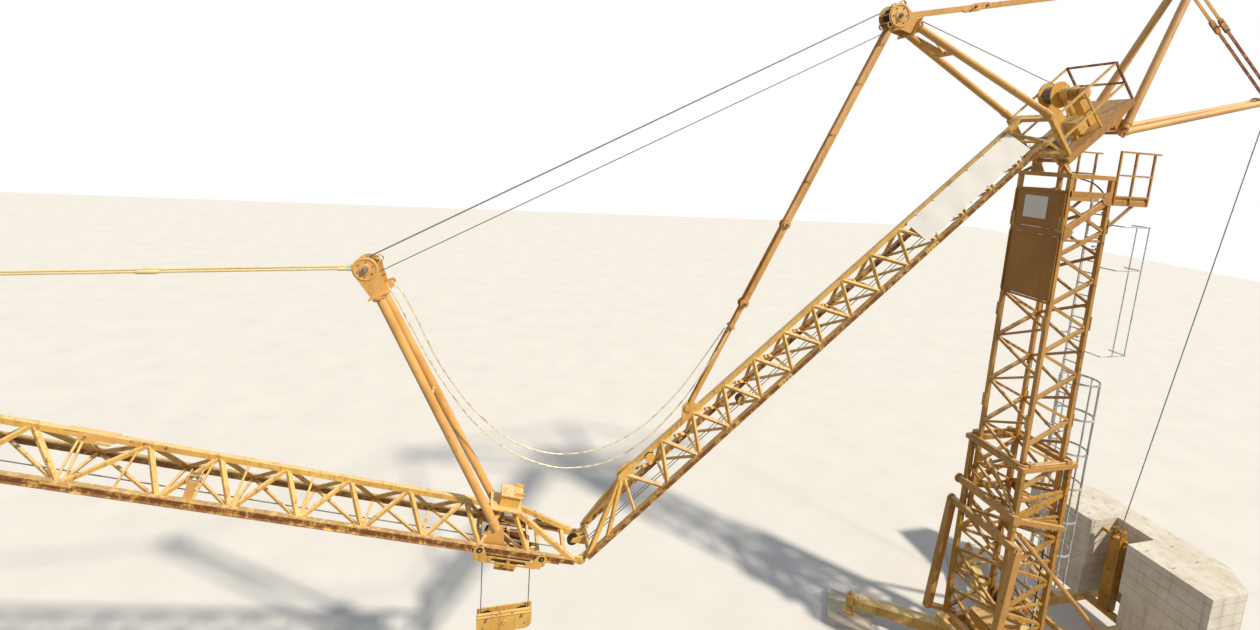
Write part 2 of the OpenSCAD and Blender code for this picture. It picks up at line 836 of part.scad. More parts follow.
outer_lows = concat([for (k = [0 : 5]) 2010 + k * outer_bay], [joint_s],
    [for (k = [0 : tip_bays]) tip_top_s + (k + 0.5) * outer_bay]);
outer_tops = concat([for (k = [0 : 5]) 2476 + k * outer_bay],
    [for (k = [0 : tip_bays]) tip_top_s + k * outer_bay]);
chord_start = 150;
foot_s = 1560;
rail_out = 44;
rail_t = 10;

// Lacing of one side of the outer jib, its lower chord with the trolley's rail
module outer_side(side) {
    y = side * jib_w / 2;
    for (k = [0 : len(outer_tops) - 1]) {
        bar([outer_lows[k], y, 0], [outer_tops[k], 0, jib_h], brace, brace);
        if (k < len(outer_tops) - 1)
            bar([outer_tops[k], 0, jib_h], [outer_lows[k + 1], y, 0], brace, brace);
    }
    bar([foot_s, side * 60, jib_h + 20], [chord_start + 40, y, 20], 84, 84);
    bar([foot_s, side * 60, jib_h], [1080, y, 0], brace, brace);
    bar([foot_s + 200, side * 60, jib_h], [outer_lows[0], y, 0], brace, brace);
    bar([chord_start, y, 0], [tip_end, y, 0], jib_chord, jib_chord);
    translate([chord_start + 300, y + (side > 0 ? jib_chord / 2 - 1 : -jib_chord / 2 - rail_out + 1), -jib_chord / 2])
        cube([tip_end - chord_start - 300, rail_out, rail_t]);
}

rod_n = jib_h + 150;
tip_pin = 25;

module outer_jib_near() color(yellow) in_outer() {
    outer_side(-1);
    bar([foot_s - 100, 0, jib_h], [tip_end, 0, jib_h], 95, 95);
    plate(-20, 40)
        polygon([[tip_last_s - 250, jib_h], [tip_last_s - 80, rod_n + 60], [tip_last_s + 80, rod_n + 60],
            [tip_last_s + 250, jib_h]]);
    pin([tip_last_s, 0, rod_n], tip_pin, 150);
}

module outer_jib_far() color(yellow) in_outer() outer_side(1);

module outer_jib_bottom() color(yellow) in_outer() {
    half = jib_w / 2;
    lows = concat([1080], outer_lows);
    last = len(lows) - 2;
    for (k = [0 : last])
        bar([lows[k], -half, 0], [lows[k], half, 0], lacing + 6, lacing + 6);
    for (k = [0 : last - 1])
        bar([lows[k], -half, 0], [lows[k + 1], half, 0], lacing, lacing);
    difference() {
        union() {
            for (y = [-1, 1])
                plate(y * 390 - 20, 40)
                    union() {
                        circle(r = 75, $fn = 32);
                        polygon([[0, -75], [0, 75], [420, 45], [420, -45]]);
                    }
            bar([345, -half, 0], [345, half, 0], 70, 70);
        }
        pin([0, 0, 0], bore_r, 1200);
    }
}

// Box for the unfolding ropes on the foot of the outer jib, on a flanged plate
module foot_bracket() color(yellow) in_outer() {
    translate([foot_s - 140, -260, jib_h + 47])
        cube([600, 520, 30]);
    translate([foot_s - 60, -150, jib_h + 76])
        cube([360, 300, 240]);
    translate([foot_s - 100, -190, jib_h + 300])
        cube([430, 380, 24]);
    for (y = [-150, 130])
        plate(y, 20)
            polygon([[foot_s - 60, jib_h + 310], [foot_s - 120, jib_h + 390], [foot_s + 60, jib_h + 400],
                [foot_s + 90, jib_h + 310]]);
}

outer_strut_foot = [1790, 330];
outer_strut_head = [5390, 4370];
outer_strut_reach = 500;
fold_wheel_r = 160;
slack_y = 110;

module outer_strut() color(yellow) in_outer() {
    strut_legs(outer_strut_foot, outer_strut_head, 345, 165, outer_strut_reach, 150);
    aimed(outer_strut_foot, outer_strut_head) {
        strut_head(210, outer_strut_reach, 150, [-50, 0, 50], fold_wheel_r);
        for (y = [-1, 1])
            plate(y * slack_y - 8, 16)
                polygon([[-495, 90], [-495, 200], [-410, 290], [-345, 270], [-330, 150], [-420, 90]]);
    }
    middle = outer_strut_foot + 0.53 * (outer_strut_head - outer_strut_foot);
    bar([middle.x, -240, middle.y], [middle.x, 240, middle.y], 50, 50);
    for (y = [-1, 1])
        plate(y * 345 - 10, 20)
            polygon([[outer_strut_foot.x - 250, 30], [outer_strut_foot.x - 90, 420], [outer_strut_foot.x + 120, 380],
                [outer_strut_foot.x + 200, 30]]);
}

module outer_pendants() color(yellow) in_outer()
    for (y = [-1, 1]) {
        start = [outer_strut_head.x, y * 100, outer_strut_head.y];
        end = [tip_last_s, y * 50, rod_n];
        along = (end - start) / norm(end - start);
        tube(start + 80 * along, end - 60 * along, 36, 12);
        tube(start + 90 * along, start + 430 * along, 64, 12);
        for (p = [[start, axle_r + eye_fit], [end, tip_pin + eye_fit]])
            difference() {
                pin(p[0], 66, 24);
                pin(p[0], p[1], 30);
            }
        tube(start + 45 * along, start + 100 * along, 40, 12);
    }

hook_s = 1415;
sheave_r = 125;
rope_r = 120;
sheave_out = 355;
sheave_n = -215;
wheel_r = 55;
wheel_y = jib_w / 2 + jib_chord / 2 + 23;
wheel_n = -jib_chord / 2 + rail_t + wheel_r + 0.3;
side_y = wheel_y + 32;

// Side plate of the trolley: a slotted web between two end brackets
module trolley_side() {
    difference() {
        union() {
            polygon([[hook_s - 690, -110], [hook_s - 690, 40], [hook_s - 640, 80], [hook_s - 530, 80],
                [hook_s - 480, 20], [hook_s - 440, -70], [hook_s + 440, -70], [hook_s + 480, 20],
                [hook_s + 530, 80], [hook_s + 640, 80], [hook_s + 690, 40], [hook_s + 690, -110],
                [hook_s + 520, -200], [hook_s - 520, -200]]);
            for (k = [-1, 1])
                translate([hook_s + k * 590, wheel_n])
                    circle(r = 70, $fn = 32);
        }
        for (s = [hook_s - 290, hook_s + 290])
            translate([s, -135])
                circle(r = 38, $fn = 32);
        translate([hook_s - 290, -173])
            square([580, 76]);
    }
}

module trolley() color(yellow) in_outer() {
    for (y = [-1, 1]) {
        plate(y * side_y - 6, 12)
            trolley_side();
        for (k = [-1, 1]) {
            pin([hook_s + k * 590, y * wheel_y, wheel_n], wheel_r, 30);
            pin([hook_s + k * 590, y * (side_y - 15), wheel_n], 20, 60);
        }
        plate(y * 400 - 6, 12)
            polygon([[hook_s - 230, -190], [hook_s + 230, -190], [hook_s + 190, -420],
                [hook_s - 190, -420]]);
        bar([hook_s - 620, y * 75, -165], [hook_s + 620, y * 75, -165], 16, 70);
    }
    for (s = [hook_s - 600, hook_s, hook_s + 600])
        bar([s, -side_y, -165], [s, side_y, -165], 60, 60);
    for (k = [-1, 1]) {
        sheave([hook_s + k * sheave_out, 0, sheave_n], sheave_r, 44, 24);
        pin([hook_s + k * sheave_out, 0, sheave_n], 25, 190);
        for (y = [-1, 1])
            plate(y * 75 - 8, 16)
                translate([hook_s + k * sheave_out - 60, sheave_n - 60])
                    square([120, 90]);
    }
}

hook_top = 3730;
hook_x = op(hook_s, sheave_n).x;
fall_x = sheave_out * cos(outer_rise) + rope_r;
block_w = 1060;
block_h = 460;
block_sheave_z = hook_top - 150;
crosshead_top = hook_top - block_h + 50;
hook_z = crosshead_top - 350;
shank_r = 35;

// Two plates with rounded lower corners and a doubled upper edge, wheels between them
module hook_block() color(yellow) translate([hook_x, 0, 0]) {
    for (y = [-1, 1]) {
        plate(y * 62 - 6, 12)
            union() {
                translate([-block_w / 2, hook_top - block_h + 150])
                    square([block_w, block_h - 150]);
                translate([-block_w / 2 + 150, hook_top - block_h])
                    square([block_w - 300, 160]);
                for (x = [-1, 1])
                    translate([x * (block_w / 2 - 150), hook_top - block_h + 150])
                        circle(r = 150, $fn = 32);
            }
        for (z = [hook_top - 26, hook_top - 92])
            translate([-block_w / 2 + 20, y * 74 - (y > 0 ? 8 : 22), z])
                cube([block_w - 40, 30, 16]);
        pin([0, y * 74, hook_top - 250], 45, 24);
    }
    for (k = [-1, 1]) {
        pin([k * (fall_x - rope_r), 0, block_sheave_z], 25, 150);
        sheave([k * (fall_x - rope_r), 0, block_sheave_z], sheave_r, 44, 24);
    }
    translate([-110, -57, crosshead_top - 120])
        difference() {
            cube([220, 114, 120]);
            translate([110, 57, -1])
                cylinder(r = shank_r + eye_fit, h = 122, $fn = 32);
        }
    pin([0, 0, hook_top - 250], 30, 150);
}

hook_ring = 95;
nut_z = crosshead_top + 0.3 - hook_z;
hook_d = 62;

// Forged hook: shank through the crosshead, ring of round section, short bent tip
module load_hook() color(ochre) translate([hook_x, 0, hook_z]) {
    translate([0, 0, hook_ring - 10])
        cylinder(r = shank_r, h = nut_z + 60 - hook_ring, $fn = 32);
    translate([0, 0, nut_z])
        cylinder(r = 52, h = 36, $fn = 6);
    rotate([90, 0, 0])
        rotate(90)
            rotate_extrude(angle = -285, $fn = 48)
                translate([hook_ring, 0])
                    circle(d = hook_d, $fn = 24);
}

module hoist_falls() color(grey)
    for (k = [-1, 1])
        tube([hook_x + k * fall_x, 0, hook_top + gap],
            [hook_x + k * fall_x, 0, op(hook_s - k * sheave_out, sheave_n).z], 20, 8);

rear_head = ip(strut_c_head.x, strut_c_head.y);
guy_dir = (rear_head - post_top) / norm(rear_head - post_top);

module guy_rope() color(grey)
    tube(post_top + 60 * guy_dir, rear_head - 180 * guy_dir, 26, 8);

front_head = ip(strut_a_head.x, strut_a_head.y);
fold_head = op(outer_strut_head.x, outer_strut_head.y);
cable_dir = (fold_head - front_head) / norm(fold_head - front_head);
cable_up = [cable_dir.z, 0, -cable_dir.x];
cable_d = 16;

// Distance of a cable's centre line from the axle of its wheel
function cable_off(r) = r - groove_depth + cable_d / 2 + 3;

// Two cables over the top of the wheels, laid from the front strut's head
module unfolding_cables() color(grey)
    for (y = [-50, 50])
        tube(front_head + [0, y, 0] + cable_off(front_wheel_r) * cable_up,
            fold_head + [0, y, 0] + cable_off(fold_wheel_r) * cable_up - 300 * cable_dir, cable_d, 6);

// One cable under them, laid from the outer strut's head
module unfolding_return() color(grey)
    tube(fold_head - cable_off(fold_wheel_r) * cable_up,
        front_head - cable_off(front_wheel_r) * cable_up + 300 * cable_dir, cable_d, 6);

slack_d = 26;
slack_far_points = [[-15000, 10380], [-14820, 10160], [-14590, 9700], [-14280, 9010],
    [-13940, 8420], [-13480, 7800], [-12830, 7210], [-12150, 6910], [-11550, 6860],
    [-11000, 6960], [-10500, 7190], [-10060, 7520], [-9530, 8090], [-9080, 8740], [-8650, 9400]];
slack_near_points = [[-15040, 10370], [-14860, 10060], [-14620, 9560], [-14270, 8870],
    [-13930, 8300], [-13490, 7700], [-12830, 7110], [-12110, 6760], [-11500, 6690],
    [-10980, 6770], [-10480, 7010], [-10040, 7370], [-9510, 7980], [-9080, 8650], [-8650, 9400]];

// A point of a smooth curve through p, t counted in points
function curve_at(p, t) = let(
    i = min(floor(t), len(p) - 2), u = t - i,
    a = p[max(i - 1, 0)], b = p[i], c = p[i + 1], d = p[min(i + 2, len(p) - 1)])
    (2 * b + (c - a) * u + (2 * a - 5 * b + 4 * c - d) * u * u
        + (3 * b - a - 3 * c + d) * u * u * u) / 2;

// Eight-sided tube along a curve in an upright plane
module rope_along(points, y, d) {
    rings = 70;
    path = [for (k = [0 : rings]) curve_at(points, k * (len(points) - 1) / rings)];
    normals = [for (k = [0 : rings]) let(
        v = path[min(k + 1, rings)] - path[max(k - 1, 0)])
        [-v.y, v.x] / norm(v)];
    corners = [for (k = [0 : rings], j = [0 : 7]) [
        path[k].x + normals[k].x * d / 2 * cos(45 * j),
        y + d / 2 * sin(45 * j),
        path[k].y + normals[k].y * d / 2 * cos(45 * j)]];
    sides = [for (k = [0 : rings - 1], j = [0 : 7])
        [8 * k + j, 8 * k + (j + 1) % 8, 8 * (k + 1) + (j + 1) % 8, 8 * (k + 1) + j]];
    polyhedron(corners, concat([[7, 6, 5, 4, 3, 2, 1, 0]], sides,
        [[for (j = [0 : 7]) 8 * rings + j]]));
}

module slack_rope_near() color(grey) rope_along(slack_near_points, -slack_y, slack_d);

module slack_rope_far() color(grey) rope_along(slack_far_points, slack_y, slack_d);

support_pads();
undercarriage();
slew_ring();
slewing_platform();
ballast_far();
ballast_near();
ballast_middle();
ballast_post();
outer_tower_front();
outer_tower_rear();
outer_tower_near();
outer_tower_far();
tower_collar();
erection_frame();
base_winch();
control_cabinet();
base_braces();
ladder();
safety_cage();
inner_tower_front();
inner_tower_rear();
inner_tower_near();
inner_tower_far();
front_panels();
sign_plate();
tower_head();
service_platform();
jib_root_frame();
winch_platform();
platform_railing();
unfolding_winch();
winch_motor();
inner_jib_near();
inner_jib_far();
inner_jib_bottom();
banner();
front_strut();
middle_strut();
rear_strut();
upper_pendants();
outer_jib_near();
outer_jib_far();
outer_jib_bottom();
foot_bracket();
outer_strut();
outer_pendants();
trolley();
hook_block();
load_hook();
hoist_falls();
guy_rope();
unfolding_cables();
unfolding_return();
slack_rope_near();
slack_rope_far();
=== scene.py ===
# %% [markdown]
# # A self-erecting tower crane, caught while its folding jib opens
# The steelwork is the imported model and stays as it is. This file gives each part of it a finish,
# and adds what is too fine for the solid model: bolts, ropes, windings, sheets and small plates.
# Everything is in metres, with the slewing axis at X = Y = 0 and the ground at Z = 0.

# %% The frame
import math
from functools import partial

import bpy
import numpy as np
from mathutils import Matrix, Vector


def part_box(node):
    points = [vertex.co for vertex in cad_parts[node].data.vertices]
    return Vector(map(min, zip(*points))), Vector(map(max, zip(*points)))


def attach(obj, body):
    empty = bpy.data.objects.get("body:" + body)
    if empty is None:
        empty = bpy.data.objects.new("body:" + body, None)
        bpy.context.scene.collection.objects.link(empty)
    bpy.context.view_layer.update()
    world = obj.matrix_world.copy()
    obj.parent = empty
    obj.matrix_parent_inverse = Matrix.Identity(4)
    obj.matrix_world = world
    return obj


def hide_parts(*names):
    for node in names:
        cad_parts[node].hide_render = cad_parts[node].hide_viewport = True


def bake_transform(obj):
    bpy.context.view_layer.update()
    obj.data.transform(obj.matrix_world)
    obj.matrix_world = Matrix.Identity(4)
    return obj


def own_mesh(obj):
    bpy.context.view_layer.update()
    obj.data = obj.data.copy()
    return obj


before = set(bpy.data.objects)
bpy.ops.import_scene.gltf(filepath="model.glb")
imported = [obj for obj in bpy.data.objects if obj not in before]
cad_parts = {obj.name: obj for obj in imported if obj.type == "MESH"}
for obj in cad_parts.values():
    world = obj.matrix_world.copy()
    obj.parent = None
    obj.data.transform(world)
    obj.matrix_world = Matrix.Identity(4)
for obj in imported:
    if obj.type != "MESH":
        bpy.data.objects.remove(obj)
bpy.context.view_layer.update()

# %% [markdown]
# The jib lies in an upright plane and folds in the middle. Each half has its own straight frame: s runs
# along the half from its pivot, y across, and n square to both. Two functions turn such points into the
# frame of the whole crane, so that a bolt or a roller can be placed by its distance along the jib.

# %% Points on the two halves of the jib
INNER_DIP, OUTER_RISE = math.radians(42.0), math.radians(16.73)
LUG = np.array([-0.9905, 0.0, 13.315])
JIB_H, CHORD_Y, CHORD_N = 0.574, 0.4375, 0.746  # height, half width, and bottom chords of the inner jib
SIDES = (-1, 1)
X, across, Z = np.eye(3)
inner_s = np.array([-math.cos(INNER_DIP), 0.0, -math.sin(INNER_DIP)])
inner_n = np.array([-math.sin(INNER_DIP), 0.0, math.cos(INNER_DIP)])
outer_s = np.array([-math.cos(OUTER_RISE), 0.0, math.sin(OUTER_RISE)])
outer_n = np.array([math.sin(OUTER_RISE), 0.0, math.cos(OUTER_RISE)])


def inner(s, y, n):
    """Point = pivot + s along + y across + n square to the inner jib."""
    return LUG + s * inner_s + y * across + n * inner_n


FOLD = inner(13.41, 0.0, CHORD_N)


def outer(s, y, n):
    """The same for the outer jib, from the fold pin."""
    return FOLD + s * outer_s + y * across + n * outer_n


print("fold pin", FOLD.round(3))

# %% [markdown]
# Four struts stand on the jib. Each is two tubes that meet in a head with a wheel, so most of what is
# added later is placed from the strut's foot and head. Both are kept as (s, n) in their half of the jib.


# %% The four struts
def unit(v):
    """The direction of v: v divided by its length."""
    return np.asarray(v, float) / np.linalg.norm(v)


STRUTS = {
    "front_strut": (inner, "upper_works", np.array([-0.038, 1.24]), np.array([1.66, 5.03])),
    "middle_strut": (inner, "upper_works", np.array([-1.6, -0.33]), np.array([-5.35, 1.12])),
    "rear_strut": (inner, "upper_works", np.array([-1.64, -0.48]), np.array([-6.45, -3.16])),
    "outer_strut": (outer, "outer_jib", np.array([1.79, 0.33]), np.array([5.39, 4.37])),
}
HEAD_POINT = {name: local(head[0], 0, head[1]) for name, (local, _, _, head) in STRUTS.items()}
print("front head", HEAD_POINT["front_strut"].round(3))

# %% [markdown]
# The camera stands about 13 m up and looks slightly down. Its place, turn and focal length come from a
# fit to the lattice nodes. A picture taken level and cropped has its optical centre off the middle of
# the frame, and the two shift values say how far.


# %% Camera
def put(name, data):
    """A new object in the scene that carries this data."""
    made = bpy.data.objects.new(name, data)
    bpy.context.scene.collection.objects.link(made)
    return made


CAMERA_PLACE = (-13.103, -10.0, 13.0)
yaw, pitch, roll = 0.2586533, 0.1310753, 0.0689699
forward = np.array([math.sin(yaw) * math.cos(pitch), math.cos(yaw) * math.cos(pitch), -math.sin(pitch)])
level = np.array([math.cos(yaw), -math.sin(yaw), 0.0])
upward = np.cross(level, forward)
right = math.cos(roll) * level + math.sin(roll) * upward
up = -math.sin(roll) * level + math.cos(roll) * upward
camera_data = bpy.data.cameras.new("camera")
camera_data.lens, camera_data.sensor_width = 15.591, 36.0
camera_data.shift_x, camera_data.shift_y = -0.0151, -0.0764
camera_data.clip_end = 400.0
camera = put("camera", camera_data)
turn = np.eye(4)
turn[:3] = np.stack([right, up, -forward, CAMERA_PLACE], 1)
camera.matrix_world = Matrix(turn.tolist())
bpy.context.scene.camera = camera
print("camera looks along", forward.round(3))

# %% [markdown]
# Steel comes in a few sections: round bar and tube, and flat bar, whose corners are never quite sharp.
# A shape made from such a section is a grid of points, ring after ring. So all shapes here are plain
# arrays of points and faces, and many small ones are joined into one mesh before Blender sees them.


# %% Sections and the faces of a grid
def circle(count):
    """Angles of count even steps round a circle."""
    return np.linspace(0, 2 * np.pi, count, endpoint=False)


def grid_faces(rows, columns, wrap_rows=False):
    """Quads of a grid whose columns close on themselves: (i, j), (i, j+1), (i+1, j+1), (i+1, j)."""
    i, j = np.meshgrid(np.arange(rows if wrap_rows else rows - 1), np.arange(columns), indexing="ij")
    k, m = (i + 1) % rows, (j + 1) % columns
    return np.stack([i * columns + j, i * columns + m, k * columns + m, k * columns + j], -1).reshape(-1, 4)


def capped(quads, rows, columns):
    """The quads of such a grid, with its first and last ring as one face each."""
    return quads.tolist() + [list(range(columns))[::-1], list(range((rows - 1) * columns, rows * columns))]


def round_profile(radius, sides=10):
    """Points radius * (cos a, sin a) round a circle."""
    return radius * np.stack([np.cos(circle(sides)), np.sin(circle(sides))], -1)


def flat_profile(width, height, corner=0.004):
    """A rectangle with its four corners cut off at 45 degrees."""
    x, y, c = width / 2, height / 2, min(corner, width / 3, height / 3)
    return np.array([[x, -y + c], [x, y - c], [x - c, y], [-x + c, y],
                     [-x, y - c], [-x, -y + c], [-x + c, -y], [x - c, -y]])


print("section of a 26 mm rope", round_profile(0.013, 4).round(4).tolist())

# %% [markdown]
# Almost every fine piece of a crane is one section carried along a line: a rope, a hose, a rod, a flat
# bar. A bevelled curve object would do it too, but an array of rings says exactly where each point is,
# and the section keeps its side level and doesn't twist where the path bends.


# %% A section carried along a line
def sweep(path, profile, side=across):
    """Point(k, j) = path_k + x_j * side_k + y_j * up_k, side square to the path, up square to both."""
    path = np.asarray(path, float)
    along = np.gradient(path, axis=0)
    along /= np.linalg.norm(along, axis=1, keepdims=True)
    side = np.tile(np.asarray(side, float), (len(path), 1))
    side -= np.sum(side * along, 1, keepdims=True) * along
    side /= np.linalg.norm(side, axis=1, keepdims=True)
    upright = np.cross(along, side)
    rings = path[:, None] + profile[None, :, :1] * side[:, None] + profile[None, :, 1:] * upright[:, None]
    n, m = rings.shape[:2]
    return rings.reshape(-1, 3), capped(grid_faces(n, m)[:, ::-1], n, m)


def bar(a, b, profile, side=across, count=3):
    """The same on the straight path a + t (b - a), with t from 0 to 1 in count points."""
    return sweep(np.linspace(a, b, count), profile, side)


print("points in a bar", len(bar((0, 0, 0), (1, 0, 0), flat_profile(0.05, 0.01))[0]))

# %% [markdown]
# The other large family is turned on a lathe: rollers, washers, nuts, windings. A profile of radius and
# height goes round an axis. A third family is flame-cut from plate: a flat outline that gets thickness.


# %% Turned pieces and cut plates
def ring_points(centre, axis, start, r, h, sides):
    """Point(k, a) = centre + h_k * axis + r_ka * (cos a * u + sin a * v), with u square to start."""
    u = unit(np.cross(axis, start))
    a = circle(sides)[:, None]
    round_ = np.cos(a) * u + np.sin(a) * np.cross(axis, u)
    return (np.asarray(centre, float) + h[:, None, None] * axis + r[..., None] * round_).reshape(-1, 3)


def lathe(centre, axis, profile, sides=24, closed=False):
    """A profile of (r, h) turned round an axis; closed joins its last point to its first."""
    axis = unit(axis)
    start = (0.31, 0.22, 0.92) if abs(axis[2]) < 0.9 else X
    r, h = np.asarray(profile, float).T
    faces = grid_faces(len(r), sides, closed)
    points = ring_points(centre, axis, start, r[:, None], h, sides)
    return points, faces.tolist() if closed else capped(faces, len(r), sides)


def cut_plate(outline, origin, x_axis, y_axis, thickness):
    """A flat outline (x, y) given thickness: point = origin + x * X + y * Y -+ thickness/2 * (X cross Y)."""
    half = np.cross(x_axis, y_axis) * thickness / 2
    p = np.asarray(outline, float)
    flat = np.asarray(origin, float) + p[:, :1] * x_axis + p[:, 1:] * y_axis
    return np.concatenate([flat - half, flat + half]), capped(grid_faces(2, len(p)), 2, len(p))


def rounded(width, height, radius, steps=5):
    """A rectangle centred on 0 whose corners are quarter circles: corner centre + radius (cos a, sin a)."""
    a = np.linspace(0, np.pi / 2, steps)
    middles = np.array([(1, 1), (-1, 1), (-1, -1), (1, -1)]) * (np.array([width, height]) / 2 - radius)
    quarters = [np.stack([np.cos(a + k * np.pi / 2), np.sin(a + k * np.pi / 2)], -1) for k in range(4)]
    return np.concatenate([middle + radius * quarter for middle, quarter in zip(middles, quarters)])


print("plate outline points", len(rounded(0.2, 0.1, 0.02)))

# %% [markdown]
# A piece is a mesh object that rides on one body of the crane. Its place is in its mesh, so the object
# itself stays at the origin. After building, normals are made to point outwards. Faces that meet at more
# than 38 degrees keep a sharp edge, as on cut steel, and the rest is shaded smooth, as on a tube.


# %% Piece maker
SHARP_ANGLE = math.radians(38)


def together(parts):
    """Several (points, faces) as one, each with its faces counted on from the points before it."""
    starts = np.cumsum([0] + [len(p) for p, _ in parts])
    faces = [[int(i) + int(s) for i in f] for (_, fs), s in zip(parts, starts) for f in fs]
    return np.concatenate([p for p, _ in parts]), faces


def piece(name, shape, body, finish=None, bevel=0.0):
    """An object made of (points, faces), or of a list of them, turned outwards and put on its body."""
    points, faces = shape if isinstance(shape, tuple) else together(shape)
    mesh = bpy.data.meshes.new(name)
    mesh.from_pydata(np.asarray(points).tolist(), [], faces)
    mesh.update()
    made = put(name, mesh)
    bpy.context.view_layer.objects.active = made
    made.select_set(True)
    bpy.ops.object.mode_set(mode="EDIT")
    bpy.ops.mesh.select_all(action="SELECT")
    bpy.ops.mesh.normals_make_consistent(inside=False)
    bpy.ops.object.mode_set(mode="OBJECT")
    made.select_set(False)
    mesh.polygons.foreach_set("use_smooth", np.ones(len(mesh.polygons), bool))
    mesh.set_sharp_from_angle(angle=SHARP_ANGLE)
    if bevel:
        soft = made.modifiers.new("soft edges", "BEVEL")
        soft.width, soft.segments, soft.limit_method = bevel, 2, "ANGLE"
    if body:
        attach(made, body)
    if finish:
        mesh.materials.append(finish)
    return made


print("sharp edges from", round(math.degrees(SHARP_ANGLE)), "degrees")

# %% [markdown]
# A rope's path is a smooth curve through a few points. Its strands wind round it, so the mesh keeps, at
# each point, how far along the rope it is and where round it. The rope's finish reads that later, and
# the strands then follow every bend, which a pattern fixed in space would not.


# %% Rope paths and the lay of the strands
def smooth_path(points, count):
    """Catmull-Rom curve: a cubic between each two points, its slope the chord of their neighbours."""
    p = np.asarray(points, float)
    t = np.linspace(0, len(p) - 1, count)
    i = np.minimum(t.astype(int), len(p) - 2)
    u = (t - i)[:, None]
    a, b, c, d = p[np.maximum(i - 1, 0)], p[i], p[i + 1], p[np.minimum(i + 2, len(p) - 1)]
    return (2 * b + (c - a) * u + (2 * a - 5 * b + 4 * c - d) * u**2 + (3 * b - a - 3 * c + d) * u**3) / 2


def rope_lay(made, path, sides, strands=3):
    """Stores (length along, cos(3a), sin(3a)) at each point, for the twist of the strands."""
    steps = np.linalg.norm(np.diff(path, axis=0), axis=1)
    length = np.concatenate([[0], np.cumsum(steps)])
    a = circle(sides) * strands
    lay = np.stack(np.broadcast_arrays(length[:, None], np.cos(a)[None], np.sin(a)[None]), -1)
    store = made.data.attributes.new("rope_lay", "FLOAT_VECTOR", "POINT")
    store.data.foreach_set("vector", lay.reshape(-1).astype(np.float32))


print("a smooth path", smooth_path([(0, 0, 0), (1, 0, 0), (1, 1, 0)], 5).round(3).tolist())

# %% [markdown]
# Two ropes hang slack from the strut of the outer jib to the pendants of the inner jib. They are real
# wire ropes of 26 mm, so they keep their length and hang in one smooth sagging curve. Both ends go into
# fittings on the steelwork. As the jib unfolds, their ends move apart, and here each rope is laid in
# place and rides on neither body. The route points are the ones of the solid model.

# %% The two slack ropes
SLACK = {
    "slack_rope_far": (0.110, [
        (-15.000, 10.380), (-14.820, 10.160), (-14.590, 9.700), (-14.280, 9.010), (-13.940, 8.420),
        (-13.480, 7.800), (-12.830, 7.210), (-12.150, 6.910), (-11.550, 6.860), (-11.000, 6.960),
        (-10.500, 7.190), (-10.060, 7.520), (-9.530, 8.090), (-9.080, 8.740), (-8.650, 9.400)]),
    "slack_rope_near": (-0.110, [
        (-15.040, 10.370), (-14.860, 10.060), (-14.620, 9.560), (-14.270, 8.870), (-13.930, 8.300),
        (-13.490, 7.700), (-12.830, 7.110), (-12.110, 6.760), (-11.500, 6.690), (-10.980, 6.770),
        (-10.480, 7.010), (-10.040, 7.370), (-9.510, 7.980), (-9.080, 8.650), (-8.650, 9.400)]),
}
SLACK_D, SLACK_SIDES, SLACK_STEPS = 0.026, 12, 180
slack_ropes = []
for node_name, (y, route) in SLACK.items():
    points = smooth_path([(x, y, z) for x, z in route], SLACK_STEPS)
    rope = piece(node_name + "_laid", sweep(points, round_profile(SLACK_D / 2, SLACK_SIDES)), None)
    rope_lay(rope, points, SLACK_SIDES)
    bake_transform(rope)
    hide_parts(node_name)
    slack_ropes.append(rope)

# %% [markdown]
# Every finish is a small tree of nodes. One function adds a node, sets what is named, and links what is
# given as another node's output. Colours are written as sRGB hex, as a colour picker shows them, and
# turned to linear light, in which Blender mixes them.


# %% Nodes and colours
def rgb(code):
    """sRGB hex to linear: c/12.92 below 0.04045, else ((c + 0.055)/1.055) to the power 2.4."""
    c = np.array([int(code[i:i + 2], 16) for i in (1, 3, 5)]) / 255
    return (*np.where(c <= 0.04045, c / 12.92, ((c + 0.055) / 1.055) ** 2.4).tolist(), 1.0)


def add(tree, kind, inputs, out=0, **settings):
    """Adds a node with its settings, fills its inputs and gives one of its outputs.

    inputs maps a socket's name or number to a number, a hex colour or another node's output."""
    made = tree.nodes.new("ShaderNode" + kind)
    for key, value in settings.items():
        setattr(made, key, value)
    for key, value in inputs.items():
        if isinstance(value, bpy.types.NodeSocket):
            tree.links.new(value, made.inputs[key])
        else:
            made.inputs[key].default_value = rgb(value) if isinstance(value, str) else value
    return made.outputs[out] if len(made.outputs) else None


print("white in linear", rgb("#FFFFFF")[:3])

# %% [markdown]
# Each finish begins and ends alike: it reads the object's own coordinates, so that a pattern moves with
# the steel, and it ends in a bump, the shader and the output. Between these, most of what an eye reads
# on an old machine is one tone laid over another in patches.


# %% Beginning, patches and end of a finish
def new_finish(name):
    """An empty material, what adds a node to its tree, and its coordinates in metres."""
    made = bpy.data.materials.new(name)
    made.use_nodes = True
    made.node_tree.nodes.clear()
    node = partial(add, made.node_tree)
    return made, node, node("TexCoord", {}, "Object")


def laid_over(node, tone, second, pattern, low, high, strength=1.0):
    """A second tone over the first: share = strength * (pattern - low) / (high - low), kept in 0..strength."""
    share = node("MapRange", {0: pattern, 1: low, 2: high, 3: 0.0, 4: strength})
    return node("Mix", {0: share, 6: tone, 7: second}, 2, data_type="RGBA")


def end_finish(made, node, colour, roughness, metallic, strength, depth, height):
    """Puts colour, roughness, metal and a bump of so many metres' depth on the shader."""
    bump = node("Bump", {"Strength": strength, "Distance": depth, "Height": height})
    shader = node("BsdfPrincipled", {"Base Color": colour, "Roughness": roughness, "Metallic": metallic,
                                     "Normal": bump})
    node("OutputMaterial", {"Surface": shader})
    return made


